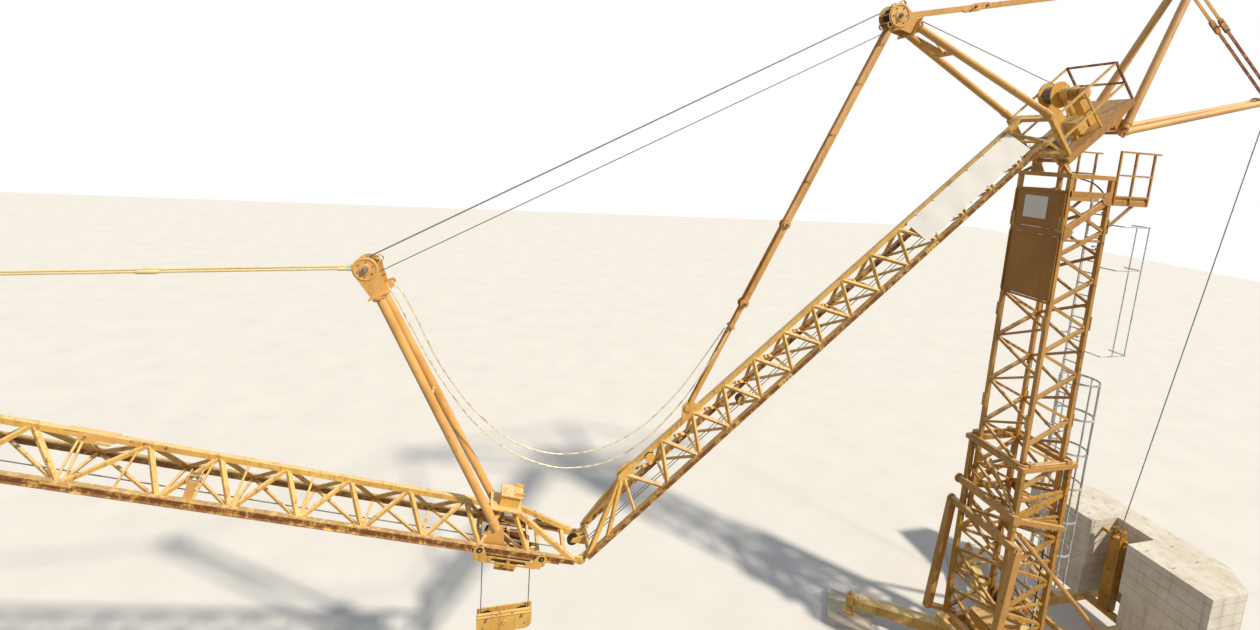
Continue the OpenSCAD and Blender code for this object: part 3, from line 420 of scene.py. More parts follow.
print("materials before any finish", len(bpy.data.materials))

# %% [markdown]
# Two places on a crane don't look like the paint round them. Rails and rope tracks are worn to rust in
# a strip, found by its distance from a plane. Wheels and pins are greased steel, and where they are in
# one solid with a painted frame, they are found by their distance from their axle.


# %% Worn strips and greased wheels
def near_plane(node, where, point, normal, reach):
    """Share = 1 within 0.6 reach of the plane (p - point) . normal = 0, falling to 0 at reach."""
    height = node("VectorMath", {0: where, 1: normal.tolist()}, "Value", operation="DOT_PRODUCT")
    offset = node("Math", {0: height, 1: float(np.dot(point, normal))}, operation="SUBTRACT")
    return node("MapRange", {0: node("Math", {0: offset}, operation="ABSOLUTE"), 1: reach, 2: reach * 0.6})


def near_axle(node, where, point, radius, half):
    """Share = 1 where |(x, z) - axle| < radius and |y - axle's y| < half, else 0."""
    moved = node("VectorMath", {0: where, 1: np.asarray(point, float).tolist()}, operation="SUBTRACT")
    flat = node("VectorMath", {0: moved, 1: (1, 0, 1)}, operation="MULTIPLY")
    away = node("VectorMath", {0: flat}, "Value", operation="LENGTH")
    side = node("Math", {0: node("SeparateXYZ", {0: moved}, "Y")}, operation="ABSOLUTE")
    return node("Math", {0: node("Math", {0: away, 1: radius}, operation="LESS_THAN"),
                         1: node("Math", {0: side, 1: half}, operation="LESS_THAN")}, operation="MULTIPLY")


print("fold pin off the plane of the rails", abs(np.dot(FOLD - inner(0, 0, CHORD_N), inner_n)).round(3))

# %% [markdown]
# A pattern's scale is how many of its features fit in a metre, so it follows from the real size of
# one feature. Chalk, rust and pores are finer in life. They are drawn as coarse as they need to be to
# show in a picture of a crane 18 m high, and the comments say which.


# %% Sizes of the paint's patterns
def per_metre(*sizes):
    """Features in a metre = 1000 / size in millimetres, to one decimal; three sizes for X, Y and Z."""
    scales = [round(1000 / size, 1) for size in sizes]
    return scales[0] if len(scales) == 1 else scales


CLOUDS = per_metre(1100)  # tone of one brushed stretch
CHALK = per_metre(26.3)  # chalk and dust; real chalk is finer than a millimetre, and wouldn't show
STREAKS = per_metre(71.4, 71.4, 1100)  # runs of rusty water, narrow and long
RUST_SPOTS = per_metre(143)  # blotches of rust
RUST_GRAIN = per_metre(16.67)  # their ragged rims; real ones are of some 3 mm, and wouldn't show
print("features per metre", CLOUDS, CHALK, STREAKS, RUST_SPOTS, RUST_GRAIN)

# %% [markdown]
# The crane is brushed and rolled with a machine enamel that has stood in the sun for years. The eye
# reads five things: a lighter upper side, which is painted sunlight on the faces that look up mixed
# with chalk, cloudy differences of tone over a metre or so, brown rust in blotches of some centimetres,
# thin streaks that run down, and strips worn brown along the rails. The same tree makes every paint,
# with its own colours and amount of rust.


# %% Old enamel
def old_enamel(name, colour, painted_sun_and_chalk, shaded, rust=0.3, plane=None, wheels=(), streak=1.0, red="#8C5527"):
    """Enamel over steel. plane = (point, normal, reach) is rusted more; wheels = (point, radius, half)."""
    made, node, where = new_finish(name)
    cloud = node("TexNoise", {"Vector": where, "Scale": CLOUDS, "Detail": 5.0, "Roughness": 0.55})
    chalk = node("TexNoise", {"Vector": where, "Scale": CHALK, "Detail": 3.0, "Roughness": 0.6})
    tone = laid_over(node, shaded, colour, cloud, 0.35, 0.65)
    # Painted sunlight and chalk: faces that look up take the lighter tone, in chalky specks.
    upward_side = node("SeparateXYZ", {0: node("NewGeometry", {}, "Normal")}, "Z")
    painted_sun_and_chalk_share = node("Math", {0: node("MapRange", {0: upward_side, 1: 0.2, 2: 0.95}),
                           1: node("MapRange", {0: chalk, 1: 0.3, 2: 0.7, 3: 0.4, 4: 0.9})},
                  operation="MULTIPLY")
    tone = node("Mix", {0: painted_sun_and_chalk_share, 6: tone, 7: painted_sun_and_chalk}, 2, data_type="RGBA")
    runs = node("TexNoise", {"Vector": node("Mapping", {0: where, 3: STREAKS}), "Scale": 1.0, "Detail": 4.0,
                             "Roughness": 0.55})
    tone = laid_over(node, tone, "#8A5A22", runs, 0.52, 0.72, 0.55 * streak)
    spots = node("TexNoise", {"Vector": where, "Scale": RUST_SPOTS, "Detail": 6.0, "Roughness": 0.7})
    grain = node("TexNoise", {"Vector": where, "Scale": RUST_GRAIN, "Detail": 4.0, "Roughness": 0.7})
    blotch = node("Math", {0: node("Math", {0: spots, 1: 0.65}, operation="MULTIPLY"),
                           1: node("Math", {0: grain, 1: 0.35}, operation="MULTIPLY")}, operation="ADD")
    edge = 0.66 - 0.2 * rust
    rusted = node("MapRange", {0: blotch, 1: edge - 0.035, 2: edge + 0.035})
    if plane:
        worn = node("Math", {0: near_plane(node, where, *plane),
                             1: node("MapRange", {0: blotch, 1: 0.40, 2: 0.5})}, operation="MULTIPLY")
        rusted = node("Math", {0: rusted, 1: worn}, operation="MAXIMUM")
    rust_tone = node("Mix", {0: chalk, 6: "#5A3320", 7: red}, 2, data_type="RGBA")
    tone = node("Mix", {0: rusted, 6: tone, 7: rust_tone}, 2, data_type="RGBA")
    sheen = node("MapRange", {0: chalk, 1: 0.3, 2: 0.7, 3: 0.42, 4: 0.6})
    gloss = node("Mix", {0: rusted, 2: sheen, 3: 0.88})
    metal = 0.0
    for wheel in wheels:
        greased = near_axle(node, where, *wheel)
        grease = node("Mix", {0: chalk, 6: "#2A2622", 7: "#5A4A38"}, 2, data_type="RGBA")
        tone = node("Mix", {0: greased, 6: tone, 7: grease}, 2, data_type="RGBA")
        gloss = node("Mix", {0: greased, 2: gloss, 3: 0.38})
        metal = node("Math", {0: metal, 1: greased}, operation="MAXIMUM")
    if wheels:
        metal = node("Math", {0: metal, 1: 0.7}, operation="MULTIPLY")
    height = node("Math", {0: node("Math", {0: chalk, 1: 0.4}, operation="MULTIPLY"),
                           1: node("Math", {0: rusted, 1: -0.5}, operation="MULTIPLY")}, operation="ADD")
    return end_finish(made, node, tone, gloss, metal, 0.35, 0.004, height)


print("rust in linear light", np.round(rgb("#8C5527")[:3], 3))

# %% [markdown]
# The jibs are a warm yellow, the struts nearer to orange, the tower older and browner, and the sheet
# panels ochre. Worn strips lie along the chords that the ropes and the trolley run on, on the long
# pendant behind, and at the near end of the railing.

# %% The crane's paints
YELLOW = dict(colour="#EFC26A", painted_sun_and_chalk="#FAE3AC", shaded="#D9A851")
TOWER_YELLOW = dict(colour="#D29D50", painted_sun_and_chalk="#F0D096", shaded="#B2803C")
FOLD_WHEEL = (inner(13.4, 0, 0.961), 0.112, 0.04)
STRUT_WHEELS = {"front_strut": (0.215, 0.14), "middle_strut": (0.125, 0.13), "rear_strut": (0.1, 0.1),
                "outer_strut": (0.17, 0.14)}
inner_rail = (inner(0, 0, CHORD_N), inner_n, 0.062)
outer_rail = (outer(0, 0, 0), outer_n, 0.062)
rear_end = HEAD_POINT["rear_strut"]
rear_pendant = (rear_end, unit(rear_end - HEAD_POINT["middle_strut"]), 3.6)
railing_end = (inner(-2.03, 0, 0.9), inner_s, 0.08)
plain_yellow = old_enamel("crane_enamel_yellow", **YELLOW, rust=0.25)
tower_yellow = old_enamel("tower_enamel_yellow", **TOWER_YELLOW, rust=0.3)
inner_yellow = old_enamel("inner_jib_enamel", **YELLOW, rust=0.3, plane=inner_rail, wheels=[FOLD_WHEEL])
outer_yellow = old_enamel("outer_jib_enamel", **YELLOW, rust=0.35, plane=outer_rail)
outer_far_yellow = old_enamel("outer_jib_far_enamel", **YELLOW, rust=0.3, red="#C08A4A", plane=outer_rail)
bottom_yellow = old_enamel("inner_bottom_enamel", **YELLOW, rust=0.25, wheels=[FOLD_WHEEL])
strut_orange = {
    strut: old_enamel("strut_enamel_" + strut, "#EBB96C", "#F7D79C", "#D0964E", rust=0.12,
                      wheels=[(HEAD_POINT[strut], radius, half)], streak=0.3)
    for strut, (radius, half) in STRUT_WHEELS.items()
}
pendant_enamel = old_enamel("pendant_enamel", "#E9B568", "#F7D79C", "#CF954C", rust=0.2, red="#8C4A38",
                            plane=rear_pendant)
railing_enamel = old_enamel("railing_enamel", **YELLOW, rust=0.3, red="#A0604A", plane=railing_end)
pendant_pale = old_enamel("pendant_enamel_pale", "#F1DDA0", "#FAEFC9", "#DFC27C", rust=0.05, streak=0.4)
tower_ochre = old_enamel("old_tower_enamel_ochre", "#CB983F", "#DFB76C", "#A47629", rust=0.42, streak=1.4)
panel_ochre = old_enamel("panel_enamel_ochre", "#AE7823", "#C49646", "#96651B", rust=0.12)
print("enamels", len(bpy.data.materials))

# %% [markdown]
# Ladder, cage and small fittings are hot-dip galvanised. Zinc that froze on the steel shows a faint
# spangle of grey crystals and is dull, with dirt in patches. Most of its tone is grey and not mirror,
# because old zinc has a skin of white oxide. So its metallic value is low, and lower under dirt.


# %% Hot-dip zinc
SPANGLE, ZINC_DIRT = per_metre(25), per_metre(333)  # crystals, and patches of dirt


def hot_dip_zinc(name, light, dark, metallic):
    """Tone and sheen of each cell = a random number of its crystal; dirt lies over it in patches."""
    made, node, where = new_finish(name)
    crystal = node("SeparateColor", {0: node("TexVoronoi", {"Vector": where, "Scale": SPANGLE}, "Color")})
    tone = node("Mix", {0: crystal, 6: light, 7: dark}, 2, data_type="RGBA")
    patches = node("TexNoise", {"Vector": where, "Scale": ZINC_DIRT, "Detail": 6.0, "Roughness": 0.55})
    dirt = node("MapRange", {0: patches, 1: 0.5, 2: 0.7, 3: 0.0, 4: 0.6})
    return end_finish(made, node, node("Mix", {0: dirt, 6: tone, 7: "#6E604C"}, 2, data_type="RGBA"),
                      node("MapRange", {0: crystal, 3: 0.42, 4: 0.62}),
                      node("MapRange", {0: dirt, 2: 0.6, 3: metallic, 4: 0.3}), 0.15, 0.002, crystal)


zinc = hot_dip_zinc("hot_dip_zinc", "#DADDDD", "#AEB2B4", 0.35)
bolt_zinc = hot_dip_zinc("bolt_zinc", "#A9A69C", "#6D6558", 0.7)
print("zinc", zinc.name, bolt_zinc.name)

# %% [markdown]
# A wire rope is steel strands laid in a helix, with grease between them: bright ridges and dark
# hollows. The finish reads the lay that each rope carries, so the ridges wind round it.


# %% Wire rope
ROPE_DIRT = per_metre(167)  # patches of dry grease


def wire_rope(name, light, dark, pitch=0.16):
    """Strands: brightness = sin(2 pi u / pitch + 3 a), with u along the rope and a round it."""
    made, node, where = new_finish(name)
    lay = node("SeparateXYZ", {0: node("Attribute", {}, "Vector", attribute_name="rope_lay")}).node.outputs
    angle = node("Math", {0: lay["X"], 1: 2 * math.pi / pitch}, operation="MULTIPLY")
    sine, cosine = (node("Math", {0: angle}, operation=kind) for kind in ("SINE", "COSINE"))
    strand = node("Math", {0: node("Math", {0: sine, 1: lay["Y"]}, operation="MULTIPLY"),
                           1: node("Math", {0: cosine, 1: lay["Z"]}, operation="MULTIPLY")}, operation="ADD")
    dirt = node("TexNoise", {"Vector": where, "Scale": ROPE_DIRT, "Detail": 5.0, "Roughness": 0.55})
    tone = laid_over(node, dark, light, strand, -0.8, 0.6)
    tone = laid_over(node, tone, "#5B4A35", dirt, 0.5, 0.7, 0.6)
    rough = node("MapRange", {0: dirt, 1: 0.3, 2: 0.7, 3: 0.38, 4: 0.6})
    return end_finish(made, node, tone, rough, 0.55, 0.6, 0.003, strand)


slack_steel = wire_rope("slack_wire_rope", "#F6ECCB", "#DCCDA4")
taut_steel = wire_rope("taut_wire_rope", "#A8A296", "#4A453D", 0.12)
for rope in slack_ropes:
    rope.data.materials.append(slack_steel)
print("ropes", slack_steel.name, taut_steel.name)

# %% [markdown]
# The ballast and the pads under the feet are cast concrete: pale, with pores from air bubbles, damp
# stains that run down, and on the ballast a dark joint between every two slabs.


# %% Cast concrete
CAST_CLOUDS, DAMP_RUNS = per_metre(625), per_metre(200, 200, 1700)
PORES = per_metre(14.29)  # real ones are of 2 to 20 mm; the finest wouldn't show
SLAB_H, FIRST_JOINT, HALF_STEP = 0.3, 2.0, 0.5


def cast_concrete(name, light, dark, joints=False):
    """Clouds, runs and pores laid over each other; joints where |fract((z - 2) / 0.3) - 0.5| nears 0.5."""
    made, node, where = new_finish(name)
    cloud = node("TexNoise", {"Vector": where, "Scale": CAST_CLOUDS, "Detail": 6.0, "Roughness": 0.6})
    pores = node("TexNoise", {"Vector": where, "Scale": PORES, "Detail": 3.0, "Roughness": 0.6})
    runs = node("TexNoise", {"Vector": node("Mapping", {0: where, 3: DAMP_RUNS}), "Scale": 1.0,
                             "Detail": 5.0, "Roughness": 0.55})
    tone = laid_over(node, dark, light, cloud, 0.35, 0.65)
    tone = laid_over(node, tone, "#C2B59C", runs, 0.5, 0.7, 0.6)
    tone = laid_over(node, tone, "#7C7262", pores, 0.62, 0.7, 0.5)
    if joints:
        above = node("Math", {0: node("SeparateXYZ", {0: where}, "Z"), 1: FIRST_JOINT}, operation="SUBTRACT")
        slab = node("Math", {0: above, 1: SLAB_H}, operation="DIVIDE")
        part = node("Math", {0: node("Math", {0: slab}, operation="FRACT"), 1: HALF_STEP},
                    operation="SUBTRACT")
        seam = node("MapRange", {0: node("Math", {0: part}, operation="ABSOLUTE"), 1: 0.47, 2: HALF_STEP})
        share = node("Math", {0: seam, 1: 0.55}, operation="MULTIPLY")
        tone = node("Mix", {0: share, 6: tone, 7: "#6F6558"}, 2, data_type="RGBA")
    rough = node("MapRange", {0: cloud, 1: 0.3, 2: 0.7, 3: 0.8, 4: 0.94})
    depth = node("Math", {0: pores, 1: -1.0}, operation="MULTIPLY")
    return end_finish(made, node, tone, rough, 0.0, 0.5, 0.004, depth)


slab_concrete = cast_concrete("cast_concrete_slabs", "#F1ECE0", "#E0D8C7", joints=True)
pad_concrete = cast_concrete("cast_concrete_pads", "#E4DECF", "#CBC2AF")
print("concrete", slab_concrete.name, pad_concrete.name)

# %% [markdown]
# The banner is a coated fabric: a woven cloth under a soft plastic skin, white, with grey dirt where
# water stands. The sign is an enamelled plate, which is as white and takes dirt in the same way.


# %% Coated fabric and white plate
WAVE_TURNS, BAND = 20.0, 0.0121  # a wave texture turns through 20 radians per metre at scale 1
WEAVE = round(2 * math.pi / (WAVE_TURNS * BAND), 1)  # bands of 12 mm; real threads of 1 mm wouldn't show
CLOTH_DIRT = per_metre(450)


def coated_fabric(name, colour, dirt_colour):
    """Weave = a wave along X plus a wave along Z, seen in sheen and bump; dirt in clouds."""
    made, node, where = new_finish(name)
    waves = [node("TexWave", {"Vector": where, "Scale": WEAVE}, 1, bands_direction=way) for way in "XZ"]
    weave = node("Math", dict(enumerate(waves)), operation="ADD")
    dirt = node("TexNoise", {"Vector": where, "Scale": CLOTH_DIRT, "Detail": 6.0, "Roughness": 0.55})
    tone = laid_over(node, colour, dirt_colour, dirt, 0.5, 0.8, 0.3)
    rough = node("MapRange", {0: weave, 2: 2.0, 3: 0.45, 4: 0.65})
    return end_finish(made, node, tone, rough, 0.0, 0.12, 0.001, weave)


banner_cloth = coated_fabric("banner_fabric_white", "#F3F2EE", "#C9C4B6")
white_plate = coated_fabric("white_sign_enamel", "#F4F4F1", "#CFC9BC")
print("white", banner_cloth.name, white_plate.name, "weave", WEAVE)

# %% [markdown]
# Threads, axles, gear ring, rollers and hook are bare or dark: steel with old grease and dust, black
# nylon, rubber, grey motor enamel and rusted plate. All are blotched dark and light and half shiny, so
# one tree serves them, with its own colours, metal and roughness.


# %% Greased and dark finishes
BLOTS = per_metre(45.5)  # smears of grease


def greased_steel(name, light, dark, metallic=0.8, rough=(0.3, 0.55)):
    """Blots carry the tone from dark to light and the roughness from its first to its second value."""
    made, node, where = new_finish(name)
    blot = node("TexNoise", {"Vector": where, "Scale": BLOTS, "Detail": 5.0, "Roughness": 0.6})
    sheen = node("MapRange", {0: blot, 1: 0.3, 2: 0.7, 3: rough[0], 4: rough[1]})
    return end_finish(made, node, laid_over(node, dark, light, blot, 0.35, 0.65), sheen, metallic,
                      0.2, 0.002, blot)


# Nearly black, with a wet shine that moves as the eye does
dark_steel = greased_steel("greased_steel", "#4C4238", "#1F1B18")
# Black and soft: a wide dull highlight and no metal
roller_black = greased_steel("black_nylon_rollers", "#2B2927", "#141312", 0.0, (0.45, 0.65))
# Machined steel under thin oil: grey, with its shine in smears
ring_steel = greased_steel("ring_gear_steel", "#77705F", "#3A322A")
# Brown and quite dull
rust_steel = greased_steel("rusted_plate", "#7A4A26", "#472714", 0.1, (0.75, 0.9))
# Smooth grey paint, the only cool tone beside the zinc
motor_grey = greased_steel("motor_enamel_grey", "#B3B8BA", "#8E9395", 0.3, (0.35, 0.55))
# Black and dusty, so that the cable reads as a dark line with hardly a highlight
rubber = greased_steel("cable_sheath_rubber", "#2C2B2A", "#191817", 0.0, (0.55, 0.75))
print("finishes", len(bpy.data.materials))

# %% [markdown]
# Each solid of the model now gets its finish. The trolley and the hook block are painted plates with
# greased wheels between them, so their enamel is told where the axles are.

# %% Finishes on the model's own nodes
TROLLEY_S, AXLE_STEP, AXLE_N = 1.415, 0.59, 0.0155
SHEAVE_STEP, SHEAVE_N, WHEEL_Z, BLOCK_STEP = 0.355, -0.215, 3.58, 0.34
hook_x = float(outer(TROLLEY_S, 0, SHEAVE_N)[0])
trolley_enamel = old_enamel("trolley_enamel", **YELLOW, rust=0.3, wheels=[
    (outer(TROLLEY_S + k * AXLE_STEP, 0, AXLE_N), 0.058, 0.6) for k in SIDES] + [
    (outer(TROLLEY_S + k * SHEAVE_STEP, 0, SHEAVE_N), 0.127, 0.03) for k in SIDES])
block_enamel = old_enamel("hook_block_enamel", **YELLOW, rust=0.25, wheels=[
    ((hook_x + k * BLOCK_STEP, 0, WHEEL_Z), 0.126, 0.05) for k in SIDES])
FINISHED = (
    (pad_concrete, "support_pads"), (slab_concrete, "ballast_far ballast_near ballast_middle"),
    (tower_ochre, "ballast_post outer_tower_front outer_tower_rear outer_tower_near outer_tower_far"),
    (tower_yellow, "inner_tower_front inner_tower_rear inner_tower_near inner_tower_far tower_head "
                   "service_platform tower_collar erection_frame base_braces base_winch winch_platform "
                   "control_cabinet"),
    (ring_steel, "slew_ring"), (zinc, "ladder safety_cage"), (panel_ochre, "front_panels"),
    (rust_steel, "load_hook"), (inner_yellow, "inner_jib_near inner_jib_far"),
    (bottom_yellow, "inner_jib_bottom"), (railing_enamel, "platform_railing"),
    (outer_yellow, "outer_jib_near"), (outer_far_yellow, "outer_jib_far"), (trolley_enamel, "trolley"),
    (block_enamel, "hook_block"), (pendant_pale, "outer_pendants"), (pendant_enamel, "upper_pendants"),
    (taut_steel, "unfolding_cables unfolding_return hoist_falls guy_rope"),
    *((finish, strut) for strut, finish in strut_orange.items()),
)
NODE_FINISH = {name: finish for finish, names in FINISHED for name in names.split()}
for name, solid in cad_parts.items():
    finish = NODE_FINISH.get(name, plain_yellow)
    if not solid.material_slots:
        solid.data.materials.append(finish)
    for place in solid.material_slots:
        place.material = finish
print("finished nodes", len(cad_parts))

# %% [markdown]
# The banner is a strip of coated fabric on the near side of the inner jib. Real banners are never flat:
# they belly between the lacing bars and pucker at each eyelet. A cloth simulation could give that, but
# a thin sheet whose depth is a formula is lighter, and it is the same each time the file is run.


# %% A sheet of cloth
def cloth(origin, x_axis, y_axis, size, depth, thickness, count):
    """Point(u, v) = origin + u X + v Y + depth(u, v) N, then the same again a thickness behind."""
    normal = np.cross(x_axis, y_axis)
    u, v = np.meshgrid(*(np.linspace(0, s, c) for s, c in zip(size, count)), indexing="ij")
    flat = origin + u[..., None] * x_axis + v[..., None] * y_axis
    front = (flat + depth(u, v)[..., None] * normal).reshape(-1, 3)
    rows, columns = count
    i, j = np.meshgrid(np.arange(rows - 1), np.arange(columns - 1), indexing="ij")
    quads = np.stack([i * columns + j, (i + 1) * columns + j, (i + 1) * columns + j + 1,
                      i * columns + j + 1], -1).reshape(-1, 4)
    n = rows * columns
    ring = np.concatenate([np.arange(columns), np.arange(1, rows) * columns + columns - 1,
                           (rows - 1) * columns + np.arange(columns - 2, -1, -1),
                           np.arange(rows - 2, 0, -1) * columns])
    after = np.roll(ring, -1)
    rim = np.stack([ring, ring + n, after + n, after], -1)
    faces = np.concatenate([quads, quads[:, ::-1] + n, rim])
    return np.concatenate([front, front - thickness * normal]), faces.tolist()


flat_cloth, _ = cloth(LUG, X, Z, (1, 1), lambda u, v: 0 * u, 0.002, (2, 2))
print("points in the smallest cloth", len(flat_cloth))

# %% [markdown]
# The side of the jib leans inwards, so the banner gets a frame that leans with it: one way along the
# jib, one up the face and one out of it. Its depth is a slow wave, once per bay of the lacing, plus
# small dimples at the edges, once per eyelet.

# %% Banner
INNER_BAY = 0.842
BANNER_FROM, BANNER_LONG, BANNER_WIDE, EYELET_STEP = 0.68, 3.14, 0.57, 0.52
FACE_TILT = math.atan2(CHORD_Y, JIB_H)
face_up = math.cos(FACE_TILT) * inner_n + math.sin(FACE_TILT) * across
face_out = math.sin(FACE_TILT) * inner_n - math.cos(FACE_TILT) * across
face_middle = inner(BANNER_FROM, -CHORD_Y / 2, CHORD_N + JIB_H / 2)
banner_corner = face_middle + 0.056 * face_out + (0.040 - BANNER_WIDE / 2) * face_up
outward = np.sign(np.dot(np.cross(inner_s, face_up), face_out))


def banner_depth(u, v):
    """Slow belly between the lacing bars, less at the edges, and dimples at the eyelets."""
    inside = np.sin(np.pi * v / BANNER_WIDE)
    edge_pull = np.cos(2 * np.pi * u / EYELET_STEP) * (1 - inside) * 0.0022
    return outward * (0.0045 * inside * np.sin(2 * np.pi * u / INNER_BAY + 0.8) + edge_pull)


banner = piece("banner_sheet", cloth(banner_corner, inner_s, face_up, (BANNER_LONG, BANNER_WIDE),
                                     banner_depth, 0.0016, (160, 36)),
               "upper_works", banner_cloth)
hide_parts("banner")
print("banner", BANNER_LONG, "x", BANNER_WIDE)

# %% [markdown]
# A banner is held by zinc eyelets, rings pressed round a hole in its hem, and by a thin tie from each
# round the chord behind it. The rings are turned, and each tie is swept along a short smooth path.

# %% Eyelets and ties
EYELET = [(0.008, 0.006), (0.017, 0.006), (0.019, 0.003), (0.019, -0.004), (0.008, -0.004)]
eyelets, ties = [], []
for v, out_way in ((0.018, -face_up), (BANNER_WIDE - 0.018, face_up)):
    for u in np.arange(EYELET_STEP / 2, BANNER_LONG, EYELET_STEP):
        spot = banner_corner + u * inner_s + v * face_up
        eyelets.append(lathe(spot, face_out, EYELET, 14, closed=True))
        loop = [spot + a * out_way + b * face_out
                for a, b in ((0, 0.006), (0.04, 0.008), (0.060, -0.02), (0.035, -0.050))]
        ties.append(sweep(smooth_path(loop, 9), round_profile(0.0035, 6), inner_s))
eyelet_rings = piece("banner_eyelets", eyelets, "upper_works", zinc)
ties_piece = piece("banner_ties", ties, "upper_works", white_plate)
print("eyelets", len(eyelets))

# %% [markdown]
# The sign is a thin enamelled plate with rounded corners and a raised field, and it is left bare. Its
# size is read from the solid that it replaces, so that it can't drift from it.


# %% Sign
def span(node):
    """The low and the high corner of a node's box."""
    return (np.array(corner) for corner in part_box(node))


sign_low, sign_high = span("sign_plate")
sign_centre, sign_size = (sign_low + sign_high) / 2, sign_high - sign_low
_, wide, tall = sign_size
sign = piece("sign_face", [
    cut_plate(rounded(wide, tall, 0.03), sign_centre, across, Z, 0.010),
    cut_plate(rounded(wide - 0.05, tall - 0.05, 0.02), sign_centre - 0.0055 * X, across, Z, 0.002)],
    "slewing_part", white_plate, bevel=0.002)
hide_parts("sign_plate")
print("sign", sign_size.round(3))

# %% [markdown]
# The two big panels on the front of the tower are folded from sheet. A folded rim and cross ribs keep
# such a sheet stiff, and rivets hold it to its frame. On the flat solid they are laid on as bars with
# cut corners, which catch the light along their edges, and as low turned rivet heads.

# %% Panel rims and rivets
panel_low, panel_high = span("front_panels")
front, half = panel_low[0], (panel_high[1] - panel_low[1]) / 2
RIVET = [(0.011, -0.002), (0.010, 0.003), (0.005, 0.006)]
ribs, rivets = [], []
for z0, z1 in ((10.12, 11.61), (11.77, 12.62)):
    for y in (-half + 0.012, half - 0.012):
        ribs.append(bar((front + 0.031, y, z0 + 0.01), (front + 0.031, y, z1 - 0.01),
                        flat_profile(0.020, 0.034)))
    for z in (z0 + 0.02, z1 - 0.02):
        ribs.append(bar((front + 0.027, -half, z), (front + 0.027, half, z), flat_profile(0.030, 0.026), Z))
    for y in np.linspace(-half + 0.05, half - 0.05, 9):
        rivets += [lathe((front + 0.029, y, z), -X, RIVET, 10) for z in (z0 + 0.055, z1 - 0.055)]
for z, tall in ((11.69, 0.15), (10.085, 0.05), (12.645, 0.05)):
    ribs.append(bar((front + 0.036, -half, z), (front + 0.036, half, z), flat_profile(0.024, tall), X))
piece("panel_rims", ribs, "slewing_part", panel_ochre)
piece("panel_rivets", rivets, "slewing_part", bolt_zinc)
print("ribs", len(ribs), "rivets", len(rivets))

# %% [markdown]
# Steelwork of this kind is bolted where it is taken apart. One bolt is a washer, a six-sided nut and a
# stub of thread, all turned on a lathe with few faces, so that hundreds of them stay light.


# %% One bolt
BOLT_LAYERS = (  # (r, h) in sizes and the number of sides, for washer, nut and thread
    ([(0.98, 0.0), (0.98, 0.16), (0.5, 0.17)], 12),
    ([(0.86, 0.14), (0.86, 0.82), (0.7, 0.95)], 6),
    ([(0.46, 0.8), (0.46, 1.35), (0.38, 1.42)], 8),
)


def bolt(place, axis, size):
    """Washer of 1 size radius, six-sided nut, and a thread that stands out by half a size."""
    return together([lathe(place, axis, size * np.array(layer), sides) for layer, sides in BOLT_LAYERS])


print("points in a bolt", len(bolt((0, 0, 0), Z, 0.02)[0]))

# %% [markdown]
# The two tubes of each strut end in round flanges under its head, and in a sleeve at its foot. They lie
# on the tubes' own lines, which lean in all three directions, so they are turned about those lines
# and can't stand askew.

# %% Flanges of the struts
# Each strut's legs: their distance from the middle at foot and head, length of the head, diameter
LEGS = {"front_strut": (0.5, 0.215, 0.43, 0.15), "middle_strut": (0.485, 0.19, 0.3, 0.17),
        "rear_strut": (0.33, 0.15, 0.26, 0.15), "outer_strut": (0.345, 0.165, 0.5, 0.15)}


def leg_flanges(local, foot, head, foot_y, head_y, reach, leg_d):
    """Where the two tubes of a strut meet its head: a round flange on each, with eight bolts round it."""
    top = head - reach * unit(head - foot)
    flanges, bolts = [], []
    for y in SIDES:
        a, b = local(foot[0], y * foot_y, foot[1]), local(top[0], y * head_y, top[1])
        axis = unit(b - a)
        u = unit(np.cross(axis, across))
        v = np.cross(axis, u)
        centre = b - 0.050 * axis
        flanges.append(lathe(centre, axis, [(leg_d * 0.49, -0.01), (leg_d * 0.78, 0.0), (leg_d * 0.8, 0.004),
                                            (leg_d * 0.8, 0.020), (leg_d * 0.49, 0.024)]))
        bolts += [bolt(centre + leg_d * 0.66 * (math.cos(t) * u + math.sin(t) * v), -axis, 0.016)
                  for t in circle(8) + 0.2]
        flanges.append(lathe(a + 0.16 * axis, axis, [(leg_d * 0.49, -0.06), (leg_d * 0.58, -0.05),
                                                     (leg_d * 0.58, 0.05), (leg_d * 0.49, 0.06)], 20))
    return flanges, bolts


for name, (local, body, foot, head) in STRUTS.items():
    flanges, bolts = leg_flanges(local, foot, head, *LEGS[name])
    bolts += [bolt(local(head[0], y * 0.185, head[1]), y * across, 0.052) for y in SIDES]
    piece(f"{name}_flanges", flanges, body, strut_orange[name])
    piece(f"{name}_bolts", bolts, body, bolt_zinc)
print("strut fittings", len(STRUTS) * 2)

# %% [markdown]
# More bolts sit where sections of tower and jib are joined: plates on the chords and legs, with four
# bolts each. The jib's lug pins have a nut at each end, and so has the pin of the outer jib's fork.
# All plates of one body make one piece, and so do its bolts, because they always move together.

# %% Splice plates and their bolts
TOWER_X, TOWER_HALF, LEG_HALF, PLATE = -0.45, 0.6035, 0.0675, 0.010
FORK_PIN_S, FORK_PIN_Y, FORK_PIN_N = 8.47, 0.064, 0.547
CORNERS = [(sx, sy) for sx in SIDES for sy in SIDES]
splices = {"slewing_part": [], "upper_works": [], "outer_jib": []}
bolt_sets = {body: [] for body in splices}
for z in (7.2, 9.6, 11.9):
    for sx, sy in CORNERS:
        face_x, y = TOWER_X + sx * TOWER_HALF + sx * LEG_HALF, sy * TOWER_HALF
        splices["slewing_part"].append(cut_plate(rounded(0.11, 0.34, 0.012), (face_x + sx * PLATE / 2, y, z),
                                                 across, Z, PLATE))
        bolt_sets["slewing_part"] += [bolt((face_x + sx * PLATE, y, z + dz), sx * X, 0.020)
                                      for dz in (-0.12, -0.045, 0.045, 0.12)]
